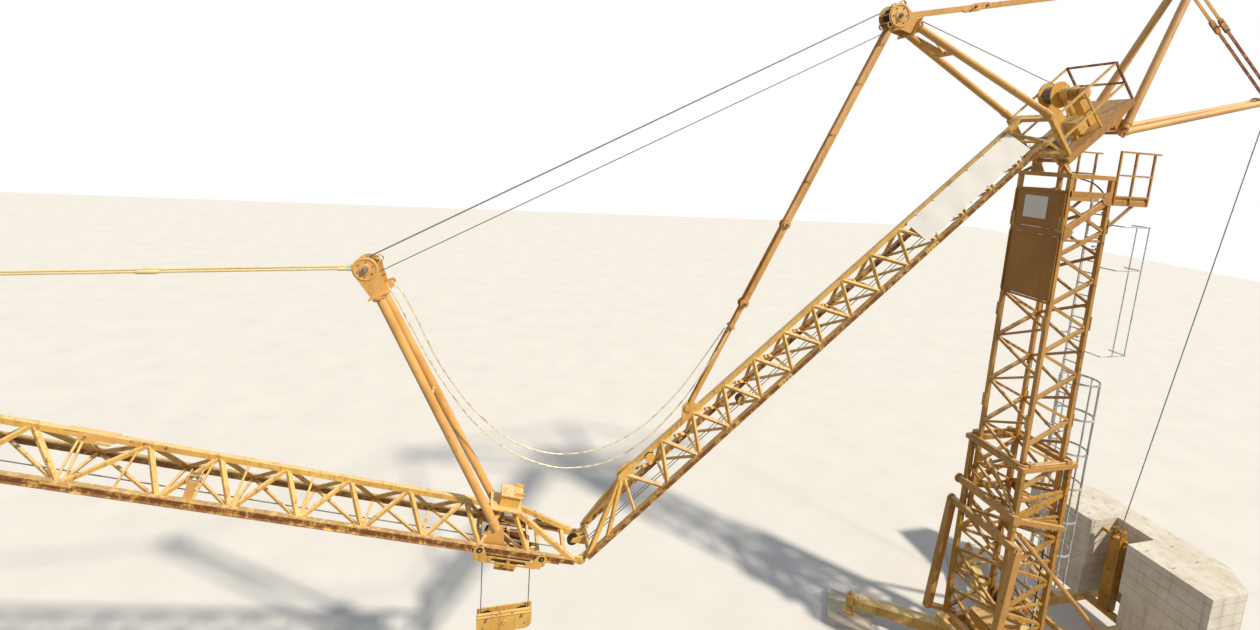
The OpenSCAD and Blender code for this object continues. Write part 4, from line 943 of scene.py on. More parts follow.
for sy in SIDES:
    for s in (3.85, 8.06):
        splices["upper_works"].append(cut_plate(rounded(0.36, 0.09, 0.012), inner(s, sy * 0.4925, CHORD_N),
                                                inner_s, inner_n, PLATE))
        bolt_sets["upper_works"] += [bolt(inner(s + ds, sy * 0.4975, CHORD_N), sy * across, 0.017)
                                     for ds in (-0.13, -0.045, 0.045, 0.13)]
    splices["outer_jib"].append(cut_plate(rounded(0.40, 0.034, 0.008), outer(8.44, sy * 0.4925, 0.022),
                                          outer_s, outer_n, PLATE))
    bolt_sets["outer_jib"].append(bolt(outer(FORK_PIN_S, sy * FORK_PIN_Y, FORK_PIN_N), sy * across, 0.024))
    bolt_sets["slewing_part"].append(bolt(LUG + sy * 0.405 * across, sy * across, 0.045))
for sx, sy in CORNERS:
    for dx, dy in ((-0.045, -0.045), (0.045, 0.045), (-0.045, 0.045), (0.045, -0.045)):
        place = (TOWER_X + sx * 0.56 + dx, sy * 0.76 + dy, 6.25)
        bolt_sets["slewing_part"].append(bolt(place, Z, 0.018))
for body, parts in splices.items():
    piece(f"{body}_splice_plates", parts, body, plain_yellow, bevel=0.002)
for body, parts in bolt_sets.items():
    piece(f"{body}_bolts", parts, body, bolt_zinc)
print("bolts", {k: len(v) for k, v in bolt_sets.items()})

# %% [markdown]
# A wound rope shows as a row of round ridges with a slight slope. Wound tight, the turns of one layer
# are a tube whose radius rises and falls once per rope width, and shifts by one width in each turn.
# That is one mesh of even rings, lighter than a rope laid as a true helix, and it shows the same.


# %% Windings on the two winches
def winding(centre, radius, width, rope, sides=48):
    """radius(h, a) = R + d/2 * |cos(pi (h/d + a / 2 pi))|, h along the drum, a round it."""
    h = np.linspace(-width / 2, width / 2, int(width / rope * 6) + 1)
    r = radius + rope / 2 * np.abs(np.cos(np.pi * (h[:, None] / rope + circle(sides) / (2 * np.pi))))
    return ring_points(centre, across, Z, r, h, sides), capped(grid_faces(len(h), sides), len(h), sides)


WINCH_S, WINCH_N = -1.15, 1.01
winch = inner(WINCH_S, 0.3, WINCH_N)
for name, shape, body in (
        ("unfolding_winch_rope", winding(winch, 0.187, 0.266, 0.018), "upper_works"),
        ("base_winch_rope", winding((0.5, 0.3, 1.42), 0.252, 0.53, 0.020), "slewing_part")):
    piece(name, shape, body, greased_steel(name + "_greased", "#8A8170", "#3E3830", 0.6))
    print(name, len(shape[0]))

# %% [markdown]
# The winch motor is a round electric motor: a finned body, a domed fan cover and a terminal box. A gear
# case with a ring of bolts joins it to the drum. The cooling fins go round the body here, so that they
# are part of the turned profile, and from the camera's distance they read as the real ones do.


# %% Motors and gear case
def fins(reach, count, low, high, half):
    """(r, h) of cooling fins between -reach and reach, each twice half wide at its foot."""
    return [(r, f + h) for f in np.linspace(-reach, reach, count)
            for r, h in ((low, -half), (high, 0.001 - half), (high, half - 0.001), (low, half))]


motor_profile = [(0.02, -0.150), (0.10, -0.148), (0.118, -0.138), *fins(0.125, 13, 0.118, 0.136, 0.004),
                 (0.118, 0.135)]
cover = [(0.118, -0.03), (0.134, -0.028), (0.136, 0.025), (0.128, 0.043), (0.105, 0.053), (0.04, 0.057),
         (0.01, 0.058)]
low_profile = [(0.03, -0.37), (0.098, -0.362), (0.100, -0.30), *fins(0.26, 19, 0.098, 0.112, 0.005),
               (0.100, 0.30), (0.098, 0.362), (0.03, 0.37)]
piece("winch_motor_fins", [
    lathe(inner(WINCH_S, -0.24, WINCH_N), across, motor_profile, 32),
    lathe(inner(WINCH_S, -0.40, WINCH_N), -across, cover, 32),
    cut_plate(rounded(0.15, 0.10, 0.012), inner(WINCH_S, -0.24, 1.155), inner_s, across, 0.055)],
    "upper_works", plain_yellow)
piece("low_motor_fins", [lathe(inner(-0.33, 0.06, 0.29), across, low_profile, 28)], "upper_works",
      motor_grey)
gear_bolts = [bolt(winch - 0.421 * across + 0.128 * (math.cos(t) * inner_s + math.sin(t) * inner_n),
                   -across, 0.013) for t in circle(10)]
piece("winch_gear_bolts", gear_bolts, "upper_works", bolt_zinc)
print("gear bolts", len(gear_bolts))

# %% [markdown]
# A rope that bears load is either straight or lies round a wheel. So it takes two makers: an arc of
# points, and a tube along such points that carries the lay of its strands.


# %% Arcs and taut ropes
def arc(centre, radius, start, stop, x_axis, y_axis, count=14):
    """Points centre + radius (cos a X + sin a Y) for a from start to stop, in degrees."""
    a = np.radians(np.linspace(start, stop, count))[:, None]
    return np.asarray(centre) + radius * (np.cos(a) * x_axis + np.sin(a) * y_axis)


def taut_rope(name, path, diameter, body, sides=8):
    """A rope through the given points with its strands stored on it."""
    made = piece(name, sweep(path, round_profile(diameter / 2, sides)), body, taut_steel)
    rope_lay(made, path, sides)
    return made


print("quarter arc", arc((0, 0, 0), 1, 0, 90, X, Z, 3).round(3).tolist())

# %% [markdown]
# The hoist rope comes down from the trolley's two wheels, goes under the two of the hook block and
# crosses between them. Each bend is an arc that rides with its wheel. The two falls stretch between
# trolley and block as the hook moves, and here they are one piece that rides on neither body.

# %% Hoist falls and their bends
ROPE_R, ROPE_D = 0.115, 0.020
block_x = SHEAVE_STEP * math.cos(OUTER_RISE)  # distance of the block's rope wheels from its middle
rope = round_profile(ROPE_D / 2, 8)
falls = []
for k, tip, over_end, hand, under_end in ((-1, "near", 62, "left", 270), (1, "far", 104, "right", -90)):
    top, low = outer(TROLLEY_S - k * SHEAVE_STEP, 0, SHEAVE_N), (hook_x + k * block_x, 0, WHEEL_Z)
    x, start = hook_x + k * (block_x + 0.116), 90 - 90 * k
    falls.append(bar((x, 0, top[2]), (x, 0, WHEEL_Z), rope, count=24))
    taut_rope(f"trolley_rope_wrap_{tip}_tip", arc(top, ROPE_R, start, over_end, X, Z), ROPE_D, "trolley")
    taut_rope(f"block_rope_wrap_{hand}", arc(low, ROPE_R, start, under_end, X, Z), ROPE_D, "hook_block")
falls_piece = piece("hoist_rope_falls", falls, None,
                    greased_steel("hoist_rope_strands", "#9A9486", "#4A453D", 0.6))
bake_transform(falls_piece)
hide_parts("hoist_falls")
taut_rope("block_rope_cross", np.linspace((hook_x - block_x, 0, WHEEL_Z - ROPE_R),
                                          (hook_x + block_x, 0, WHEEL_Z - ROPE_R), 6), ROPE_D, "hook_block")
print("falls", len(falls))

# %% [markdown]
# From the trolley the hoist rope runs just under the bottom chords of the outer jib, one way to the
# fold and one way to the tip. As the trolley travels, one run grows and the other shrinks, and here
# each is one even tube of many rings that rides on neither body.

# %% Hoist rope along the outer jib
root_run = piece("hoist_rope_root_run", bar(outer(0.25, 0.012, -0.098), outer(1.77, 0.012, -0.100), rope,
                                            count=30), None, taut_steel)
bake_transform(root_run)
tip_run = piece("hoist_rope_tip_run", bar(outer(1.06, -0.012, -0.100), outer(16.6, -0.012, -0.060), rope,
                                          count=160), None, taut_steel)
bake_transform(tip_run)
print("runs", [made.name for made in (root_run, tip_run)])

# %% [markdown]
# The guy rope runs from the head of the rear strut to the ballast post, and from there to the low
# winch. When the jib luffs, the winch shortens it, and the piece follows by drawing together along its
# own line. Two thin ropes that pull the trolley lie between the bottom chords of the inner jib.

# %% Guy rope and the ropes along the jib
post_top = np.array([3.6, 0.0, 3.36])
guy_way = unit(rear_end - post_top)
guy = taut_rope("guy_rope_strands", np.linspace(post_top + 0.105 * guy_way, rear_end - 0.18 * guy_way, 60),
                0.026, "guy_rope")
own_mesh(guy)
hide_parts("guy_rope")
lead = [post_top + (-0.09, 0.09, 0.02), (2.4, 0.20, 2.55), (0.62, 0.28, 1.63)]
lead_path = [np.linspace(a, b, 20, endpoint=False) for a, b in zip(lead, lead[1:])]
taut_rope("guy_lead_rope", np.concatenate([*lead_path, lead[-1:]]), ROPE_D, "slewing_part")
jib_ropes = [bar(inner(0.3, y, n), inner(13.25, y * 0.6, n + 0.03), round_profile(0.008, 6), count=60)
             for y, n in ((0.05, 0.715), (-0.05, 0.70))]
piece("trolley_ropes_inner", jib_ropes, "upper_works",
      greased_steel("trolley_rope_steel", "#8C867A", "#46413A", 0.6))
print("guy", round(float(np.linalg.norm(rear_end - post_top)), 3))

# %% [markdown]
# Black nylon rollers keep the ropes off the steel: two above the inner jib near the fold. Each is a
# grooved wheel between two small plates. The groove is part of the turned profile, so it needs no cut.


# %% Rope rollers with their brackets
def roller(centre, axis, radius, width):
    """Barrel with a shallow groove: r(h) = R - 0.15 R cos(pi h / w) between two raised rims."""
    h = np.linspace(-width / 2, width / 2, 9)
    r = radius - 0.15 * radius * np.cos(np.pi * h / width)
    return lathe(centre, axis, [(radius * 0.25, -width / 2 - 0.002), *zip(r.tolist(), h.tolist()),
                                (radius * 0.25, width / 2 + 0.002)], 28)


BRACKET = [(-0.11, -0.05), (-0.06, 0.055), (0.0, 0.075), (0.06, 0.055), (0.11, -0.05), (0.06, -0.12),
           (-0.06, -0.12)]
ROLLERS = ((11.17, 1.25), (9.0, 0.80))
piece("inner_jib_rollers", [roller(inner(s, 0, n), across, 0.095, 0.10) for s, n in ROLLERS],
      "upper_works", roller_black)
piece("inner_jib_roller_brackets", [cut_plate(BRACKET, inner(s, y, n), inner_s, inner_n, 0.012)
                                    for s, n in ROLLERS for y in (-0.068, 0.068)],
      "upper_works", plain_yellow, bevel=0.002)
print("rollers", len(ROLLERS))

# %% [markdown]
# Pendants are the long flat bars that hold up the inner jib. They come in pairs, joined by pins with
# nuts and kept apart by cross bars, which get shorter towards the foot where the pair closes up. Each
# has its place as a share of the pendant's length, so they stay on it if its ends are moved.

# %% Cross bars of the pendants
front_head, pendant_foot = STRUTS["front_strut"][3], np.array([9.94, 1.47])
pendant = pendant_foot - front_head
pendant_s, pendant_n = unit(pendant)
bar_way = pendant_s * inner_s + pendant_n * inner_n
nuts, links = [], []
for s, n in (front_head + t * pendant for t in (0.528, 0.73)):
    nuts += [bolt(inner(s, y * 0.121, n), y * across, 0.036) for y in SIDES]
# Cross bars: half their length, their section, and their places as shares of the pendant
for half, width, height, shares in ((0.125, 0.05, 0.016, (0.07, 0.17, 0.30, 0.42)),
                                    (0.085, 0.04, 0.014, (0.56, 0.63, 0.70)),
                                    (0.055, 0.04, 0.014, (0.80, 0.90))):
    for s, n in (front_head + t * pendant for t in shares):
        links.append(bar(inner(s, -half, n), inner(s, half, n), flat_profile(width, height), bar_way))
piece("pendant_spreaders", links, "upper_works", strut_orange["front_strut"])
piece("pendant_nuts", nuts, "upper_works", bolt_zinc)
print("cross bars", len(links))

# %% [markdown]
# The outer jib hangs on two round rods. Where a rod starts, it sits in a long conical socket, and on
# its way it has couplings, thicker in the middle. Both are turned about the rod's own line.

# %% Sockets and couplings of the rods
SOCKET = [(0.030, -0.03), (0.041, -0.02), (0.041, 0.10), (0.034, 0.16), (0.024, 0.24), (0.020, 0.30)]
COUPLING = [(0.019, -0.16), (0.030, -0.14), (0.034, -0.05), (0.034, 0.05), (0.030, 0.14), (0.019, 0.16)]
sockets, couplings = [], []
for y in SIDES:
    a, b = outer(5.39, y * 0.100, 4.37), outer(16.376, y * 0.050, 0.724)
    way = unit(b - a)
    sockets.append(lathe(a + 0.12 * way, way, SOCKET, 18))
    couplings += [lathe(a + d * way, way, COUPLING, 12) for d in (3.1, 6.9)]
piece("rod_sockets", sockets, "outer_jib", zinc)
piece("rod_couplings", couplings, "outer_jib", pendant_pale)
print("sockets", len(sockets), "couplings", len(couplings))

# %% [markdown]
# Lifting loops of bent bar stand in the top course of the ballast slabs, rusted by the rain. Each is a
# round profile along six points made smooth, and both its ends go into the concrete.

# %% Ballast loops
LOOP = [(-0.06, 0, -0.03), (-0.058, 0, 0.006), (-0.03, 0, 0.010), (0.03, 0, 0.010), (0.058, 0, 0.006),
        (0.06, 0, -0.03)]
ballast_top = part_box("ballast_far")[1][2] - 0.012
loops = [sweep(smooth_path(np.array([x, sy * y, ballast_top]) + LOOP, 16), round_profile(0.009, 8))
         for sy in SIDES for x, y in ((3.45, 0.75), (3.45, 1.35), (4.35, 0.75), (4.35, 1.30))]
piece("ballast_loops", loops, "slewing_part", rust_steel)
print("ballast loops", len(loops))

# %% [markdown]
# The outriggers stand on screw jacks. A screw thread is a radius that rises and falls along a helix:
# the same idea as the rope on the winch, with a trapezoid in place of the round.


# %% Jack threads and foot bolts
def screw(x, y, z0, z1, radius=0.0595, pitch=0.024, sides=32):
    """radius(z, a) = R + 4 mm * clipped triangle wave of (z / pitch - a / 2 pi)."""
    z = np.arange(z0, z1, pitch / 8)
    phase = np.mod(z[:, None] / pitch - circle(sides) / (2 * np.pi), 1.0)
    r = radius + 0.004 * np.clip(2.0 - np.abs(phase - 0.5) * 8.0, -1.0, 1.0)
    return ring_points((x, y, 0), Z, -across, r, z, sides), capped(grid_faces(len(z), sides), len(z), sides)


JACK_R, JACK_TURN, RING_BOLT_R = 3.76, 146.8, 0.60
threads, foot_bolts, handles = [], [], []
for k in range(4):
    t = math.radians(JACK_TURN + 90 * k)
    x, y = JACK_R * math.cos(t), JACK_R * math.sin(t)
    threads += [screw(x, y, 0.272, 0.398), screw(x, y, 0.664, 0.716)]
    foot_bolts += [bolt((x + 0.165 * math.cos(b), y + 0.165 * math.sin(b), 0.19), Z, 0.018)
                   for b in np.radians(np.arange(6) * 60 + 20)]
    side = np.array([-math.sin(t), math.cos(t), 0])
    middle = np.array([x, y, 0.742])
    handles.append(bar(middle - 0.19 * side, middle + 0.19 * side, round_profile(0.011, 10), Z, 5))
piece("jack_threads", threads, "base", dark_steel)
piece("jack_foot_bolts", foot_bolts, "base", bolt_zinc)
piece("jack_handles", handles, "base", zinc)
piece("slewing_ring_bolts", [bolt((RING_BOLT_R * math.cos(t), RING_BOLT_R * math.sin(t), 0.826), Z, 0.020)
                             for t in circle(32)], "slewing_part", bolt_zinc)
print("threads", len(threads), "foot bolts", len(foot_bolts))

# %% [markdown]
# Thin galvanised pipes make light frames beside the tower, where the electric cable comes down. The
# solid model leaves them out because they are finer than its bars. Each is a straight tube.

# %% Thin frames beside the tower
FRAME_Y = -0.98
thin = []
for z in (11.95, 10.95, 8.92):
    corners = [(0.22, -0.60, z), (0.22, FRAME_Y, z), (1.02, FRAME_Y, z), (1.02, -0.60, z)]
    thin += [bar(a, b, round_profile(0.014, 8), Z) for a, b in zip(corners, corners[1:])]
for x in (0.62, 1.0):
    thin.append(bar((x, FRAME_Y, 11.97), (x - 0.04, FRAME_Y, 8.9), round_profile(0.012, 8), X, 8))
piece("cable_frames", thin, "slewing_part", zinc)
print("thin frames", len(thin))

# %% [markdown]
# The electric cable hangs down the tower in black rubber, and its upper end goes round the tower's head
# to the foot of the jib. A cable that is clipped on by hand is never straight: two sine waves of unlike
# length make it wander by a centimetre or so between its clips.

# %% Power cable and its clips
CABLE_Y = -0.50
k = np.linspace(0, 1, 120)
tower_cable = np.stack([0.245 + 0.010 * np.sin(k * 46), CABLE_Y + 0.014 * np.sin(k * 31 + 1),
                        12.4 - k * 10.9], -1)
root_cable = smooth_path([(0.24, CABLE_Y, 12.38), (0.20, -0.46, 12.62), (-0.05, -0.36, 12.86),
                          (-0.45, -0.24, 12.98), (-0.78, -0.17, 13.12), (-0.90, -0.13, 13.30)], 40)
piece("power_cable", [sweep(path, round_profile(0.016, 8)) for path in (tower_cable, root_cable)],
      "slewing_part", rubber)
clips = [cut_plate(rounded(0.075, 0.05, 0.01), (0.226, CABLE_Y, z), across, Z, 0.05)
         for z in np.arange(2.0, 12.3, 0.85)]
piece("cable_clips", clips, "slewing_part", zinc)
print("clips", len(clips))

# %% [markdown]
# Two lighter things are of yellow bar: a bow that comes down over the collar, and the kick boards at
# the foot of the gallery's railing. The bow is a flat profile along a smooth curve.

# %% Bow and kick boards
BOARD_Z = 12.545
bow = smooth_path([(-1.235, 0.08, 5.89), (-1.262, -0.10, 5.72), (-1.262, -0.42, 5.40),
                   (-1.240, -0.74, 4.98)], 24)
light_bars = [sweep(bow, flat_profile(0.05, 0.06), X)]
for sy in SIDES:
    light_bars += [bar((0.24, sy * y, BOARD_Z), (1.28, sy * y, BOARD_Z), flat_profile(0.006, tall))
                   for y, tall in ((0.625, 0.09), (0.468, 0.06))]
piece("light_bars", light_bars, "slewing_part", plain_yellow)
print("light bars", len(light_bars))

# %% [markdown]
# The control cabinet has two doors of folded sheet with rounded corners and a raised field, louvres
# pressed into one of them, hinges and a turn handle on each. The doors are measured from the solid's
# box and cut as plates, and their bevels catch the light where real sheet is bent.

# %% Cabinet doors
cab_low, cab_high = span("control_cabinet")
cab_middle = (cab_low + cab_high) / 2
wide = (cab_high[0] - cab_low[0]) / 2 - 0.05
tall = cab_high[2] - cab_low[2] - 0.11
HINGE = [(0.004, -0.04), (0.009, -0.038), (0.009, 0.038), (0.004, 0.04)]
doors, trims = [], []
for k in SIDES:
    centre = np.array([cab_middle[0] + k * (wide / 2 + 0.008), cab_low[1] + 0.026, cab_middle[2] - 0.012])
    doors.append(cut_plate(rounded(wide, tall, 0.025), centre, X, Z, 0.016))
    doors.append(cut_plate(rounded(wide - 0.06, tall - 0.06, 0.02), centre - 0.010 * across, X, Z, 0.006))
    trims += [lathe(centre + (k * wide * 0.485, -0.012, dz), Z, HINGE, 10) for dz in (-0.15, 0.15)]
    trims.append(cut_plate(rounded(0.026, 0.11, 0.012), centre + (-k * wide * 0.40, -0.018, 0), X, Z, 0.012))
    if k < 0:
        doors += [bar(centre + (-0.13, -0.014, z), centre + (0.13, -0.014, z),
                      flat_profile(0.010, 0.008, 0.003), Z) for z in np.linspace(-0.17, -0.06, 6)]
piece("cabinet_doors", doors, "slewing_part", plain_yellow, bevel=0.0015)
piece("cabinet_trims", trims, "slewing_part", zinc)
print("cabinet", (cab_high - cab_low).round(3))

# %% [markdown]
# The trolley has nuts on the ends of its axles, and under it two plates in rust brown, which is painted
# shade under the trolley. Their corners are cut off, as on flame-cut steel, so they are made from an outline.

# %% Trolley details
axle_nuts = [bolt(outer(TROLLEY_S + k * step, sy * y, n), sy * across, size)
             for step, y, n, size in ((AXLE_STEP, 0.549, 0.0153, 0.024), (SHEAVE_STEP, 0.093, SHEAVE_N, 0.022))
             for k, sy in CORNERS]
piece("trolley_axle_nuts", axle_nuts, "trolley", bolt_zinc)
# Two plates under the trolley, rust brown as painted shade.
UNDER_PLATE = [(-0.42, -0.20), (0.42, -0.20), (0.46, -0.05), (0.46, 0.05), (0.42, 0.20), (-0.42, 0.20),
        (-0.46, 0.05), (-0.46, -0.05)]
piece("trolley_plates_painted_shade", [cut_plate(UNDER_PLATE, outer(TROLLEY_S, sy * 0.27, -0.205), outer_s, across, 0.008)
                             for sy in SIDES], "trolley", rust_steel, bevel=0.002)
print("axle nuts", len(axle_nuts))

# %% [markdown]
# The hook block is two cheek plates bolted together, with nuts on its axles. A spring latch closes the
# throat of the hook, so that a sling can't slip out. It is a flat strip along a short curve.

# %% Hook block details
cheek = []
for sy in SIDES:
    for x, z in ((-0.44, 3.64), (0.44, 3.64), (-0.15, 3.66), (0.15, 3.66), (-0.40, 3.40), (0.40, 3.40)):
        cheek.append(bolt((hook_x + x, sy * 0.068, z), sy * across, 0.017))
    cheek += [bolt((hook_x + k * BLOCK_STEP, sy * 0.074, WHEEL_Z), sy * across, 0.030) for k in SIDES]
piece("hook_block_bolts", cheek, "hook_block", bolt_zinc)
latch = smooth_path([(hook_x - x, 0, z) for x, z in
                     ((0.036, 3.055), (0.060, 3.050), (0.078, 3.025), (0.088, 2.996))], 10)
piece("hook_latch", sweep(latch, flat_profile(0.030, 0.004, 0.001)), "hook_block", zinc)
print("cheek bolts", len(cheek))

# %% [markdown]
# At each node of the lattice the bars are welded, and the torch leaves a raised bead. On the chords that
# face the camera a small oval bead at each node is enough: it catches the light as the real ones do.


# %% Weld beads at the nodes of the jib
def bead(centre, along_way, out_way, length=0.11, width=0.030, height=0.010):
    """A flat oval lump: point = c + L cos a X + W sin a Y, rising by height towards its middle."""
    side = np.cross(along_way, out_way)
    a = circle(12)[:, None]
    rings = [(1.0, -0.002), (0.8, height * 0.6), (0.35, height)]
    points = np.concatenate([centre + r * length / 2 * np.cos(a) * along_way
                             + r * width / 2 * np.sin(a) * side + h * out_way for r, h in rings])
    return points, capped(grid_faces(3, 12), 3, 12)


OUTER_BAY, BEAD_GAP, TOP_Y = 1.028, 0.07, 0.0475
inner_beads, outer_beads = [], []
for k in range(14):
    inner_beads += [bead(inner(0.253 + INNER_BAY * k + d * BEAD_GAP, sy * CHORD_Y, 0.796), inner_s, inner_n)
                    for sy, d in CORNERS]
for k in range(13):
    inner_beads += [bead(inner(0.674 + INNER_BAY * k, sy * TOP_Y, 1.300), inner_s, sy * across)
                    for sy in SIDES]
for k in range(6):
    for sy in SIDES:
        outer_beads += [bead(outer(2.01 + OUTER_BAY * k + d * BEAD_GAP, sy * CHORD_Y, 0.050),
                             outer_s, outer_n) for d in SIDES]
        outer_beads.append(bead(outer(2.476 + OUTER_BAY * k, sy * TOP_Y, 0.554), outer_s, sy * across))
for body, beads in (("upper_works", inner_beads), ("outer_jib", outer_beads)):
    piece(f"{body}_weld_beads", beads, body, plain_yellow)
print("beads", len(inner_beads) + len(outer_beads))

# %% [markdown]
# The bracing of the inner tower is angle iron, L-shaped in section. The solid model has the leg that
# lies in the face of the tower. The second leg stands square to it and catches the sun, which makes
# the bar read as an angle and not as a strip, so it is added as a thin bar beside the first.


# %% Second legs of the angle bars
def leg_point(corner, z):
    """Centre line of the inner tower's leg at a corner (+-1, +-1)."""
    return np.array([BRACE_X + corner[0] * TOWER_HALF, corner[1] * TOWER_HALF, z])


BRACE_X, NODE_Z, TOWER_BAY = -0.4505, 9.475, 1.149
angle_legs = []
# Each face: its two corners, whether its bars go from the first corner, its normal, the bars' width
for low, high, first, side, width in (((-1, -1), (-1, 1), True, X, 0.06), ((1, 1), (1, -1), True, X, 0.06),
                                      ((1, -1), (-1, -1), False, across, 0.084),
                                      ((1, 1), (-1, 1), False, across, 0.084)):
    for k in range(-4, 3 if first else 2):
        a, b = leg_point(low, NODE_Z + k * TOWER_BAY), leg_point(high, NODE_Z + (k + 0.5) * TOWER_BAY)
        if not first:
            a, b = b, leg_point(low, NODE_Z + (k + 1) * TOWER_BAY)
        way = unit(b - a)
        above = np.cross(way, side)
        above *= 1 if above[2] > 0 else -1
        angle_legs.append(bar(a + 0.09 * way + 0.036 * above, b - 0.09 * way + 0.036 * above,
                              flat_profile(width, 0.008, 0.001), side))
piece("inner_tower_angle_legs", angle_legs, "slewing_part", tower_yellow)
print("angle legs", len(angle_legs))

# %% [markdown]
# A thick box brace on each side carries the gallery, with a gusset plate at each end where it is
# welded to the tower's legs. It starts and ends on the legs' own lines, as the welder would set it.

# %% Braces under the gallery
knees = []
for y in SIDES:
    a, b = leg_point((-1, y), 11.72), leg_point((1, y), 12.52)
    knees.append(bar(a, b, flat_profile(0.086, 0.15, 0.01)))
    for p, way in ((a, 1), (b, -1)):
        gusset = [(0, -0.16), (0.20 * way, -0.10), (0.26 * way, 0.02), (0.20 * way, 0.14), (0, 0.18)]
        knees.append(cut_plate(gusset, p + 0.052 * y * across, X, Z, 0.010))
piece("gallery_braces", knees, "slewing_part", tower_yellow, bevel=0.002)
print("brace parts", len(knees))

# %% [markdown]
# A bent guard tube lies on the collar. A pipe bender makes four equal quarter bends, and the straight
# lengths between them come by themselves when the arcs are joined in one path.

# %% Guard tube on the collar
GUARD_HALF, GUARD_BEND, GUARD_Z = 0.63, 0.16, 6.20
guard_path = np.concatenate([
    arc((BRACE_X + cx * GUARD_HALF, cy * GUARD_HALF, GUARD_Z), GUARD_BEND, turn, turn + 90, X, across, 7)
    for cx, cy, turn in ((1, 1, 0), (-1, 1, 90), (-1, -1, 180), (1, -1, 270))])
piece("collar_guard_tube", sweep(np.concatenate([guard_path, guard_path[:1]]), round_profile(0.024, 10), Z),
      "slewing_part", tower_yellow)
print("guard points", len(guard_path))

# %% [markdown]
# The heads of the struts look knobbly: a raised ring, a hub and bolts on each cheek, bars that keep the
# ropes on their wheels, and hook-shaped clips. All of it is set out round the wheel's axle, at an
# angle and a reach from it, as it would be drawn with a compass, so one function serves four heads.


# %% Strut heads
def head_trim(strut, radius, half, clips=(), keepers=(-35, 0, 35)):
    """Parts at head + reach * (cos a along + sin a beside), for both cheeks of one strut head."""
    local, _, foot, head = STRUTS[strut]
    along = unit(head - foot)
    beside = np.array([-along[1], along[0]])

    def spot(angle, reach, y):
        s, n = head + reach * (math.cos(angle) * along + math.sin(angle) * beside)
        return local(s, y, n)

    x_way, y_way = spot(0, 1, 0) - spot(0, 0, 0), spot(np.pi / 2, 1, 0) - spot(0, 0, 0)
    parts, bolts = [], []
    for side in SIDES:
        centre, axis = spot(0, 0, side * (half + 0.006)), side * across
        parts.append(lathe(centre, axis, [(0.80 * radius, 0), (0.91 * radius, 0), (0.90 * radius, 0.016),
                                          (0.81 * radius, 0.016)], 40, closed=True))
        parts.append(lathe(centre, axis, [(0.44 * radius, 0.0), (0.42 * radius, 0.022),
                                          (0.19 * radius, 0.026)], 28))
        bolts += [bolt(spot(a, 0.62 * radius, side * (half + 0.008)), axis, 0.017)
                  for a in np.radians(np.arange(30, 390, 60))]
        for a in clips:
            hook = arc(spot(math.radians(a), 1.02 * radius, side * (half - 0.03)), 0.06, a - 150, a + 110,
                       x_way, y_way, 16)
            parts.append(sweep(hook, flat_profile(0.045, 0.014, 0.002)))
    for a in np.radians(keepers):
        parts.append(bar(spot(a, radius - 0.026, -half), spot(a, radius - 0.026, half),
                         round_profile(0.013, 8), Z))
    return parts, bolts


for body, heads in {
        "upper_works": (head_trim("front_strut", 0.25, 0.16, (-70, 80), (-60, -20, 62)),
                        head_trim("middle_strut", 0.15, 0.15), head_trim("rear_strut", 0.12, 0.12)),
        "outer_jib": (head_trim("outer_strut", 0.21, 0.15, (75,)),)}.items():
    piece(f"{body}_head_trim", [p for parts, _ in heads for p in parts], body,
          strut_orange["front_strut"])
    piece(f"{body}_head_bolts", [b for _, bolts in heads for b in bolts], body, bolt_zinc)
    print(body, "heads", len(heads))

# %% [markdown]
# The long pendants between the heads are made of two lengths, so that they fold with the struts. The
# lengths meet in a pinned joint: two plates on each bar, two pins, and a round bar across.

# %% Joints of the long pendants
JOINT = [(-0.24, -0.03), (-0.18, -0.068), (0.18, -0.068), (0.24, -0.03), (0.24, 0.03), (0.18, 0.068),
         (-0.18, 0.068), (-0.24, 0.03)]
joints, joint_bolts = [], []
for first, second, share, y in (("front_strut", "middle_strut", 0.25, 0.120),
                                ("middle_strut", "rear_strut", 0.36, 0.088)):
    a, b = STRUTS[first][3], STRUTS[second][3]
    (s, n), (way_s, way_n) = a + share * (b - a), unit(b - a)
    x_way, y_way = way_s * inner_s + way_n * inner_n, -way_n * inner_s + way_s * inner_n
    for side in SIDES:
        joints += [cut_plate(JOINT, inner(s, side * y + layer, n), x_way, y_way, 0.012)
                   for layer in (-0.015, 0.015)]
        joint_bolts += [bolt(inner(s, side * (y + 0.021), n) + k * x_way, side * across, 0.034)
                        for k in (-0.15, 0.15)]
    joints.append(bar(inner(s, -y, n), inner(s, y, n), round_profile(0.024, 10), Z))
piece("pendant_joints", joints, "upper_works", pendant_enamel, bevel=0.002)
piece("pendant_joint_bolts", joint_bolts, "upper_works", bolt_zinc)
print("joint parts", len(joints))

# %% [markdown]
# The rope that opens the jib comes back from the wheel of the front head to the winch drum. A taut
# rope leaves a wheel and meets a drum at their rims, so its ends are set square off the line between
# the two axles, by the radius of each.

# %% Rope from the front head to the winch
drum = np.array([WINCH_S, WINCH_N])
down = unit(drum - front_head)
off = np.array([down[1], -down[0]])
start, stop = front_head + 0.190 * off, drum + 0.180 * off
taut_rope("winch_lead_rope", np.linspace(inner(start[0], 0.05, start[1]), inner(stop[0], 0.22, stop[1]), 40),
          ROPE_D, "upper_works")
print("lead rope", np.linalg.norm(stop - start).round(3))

# %% [markdown]
# The unfolding ropes pull in between the front head and the head of the outer strut as the jib opens.
# In the solid model each is one length. Here a second length lies in line with it, from the other
# wheel. The two slide past each other, so the rope reaches from wheel to wheel at every pose.

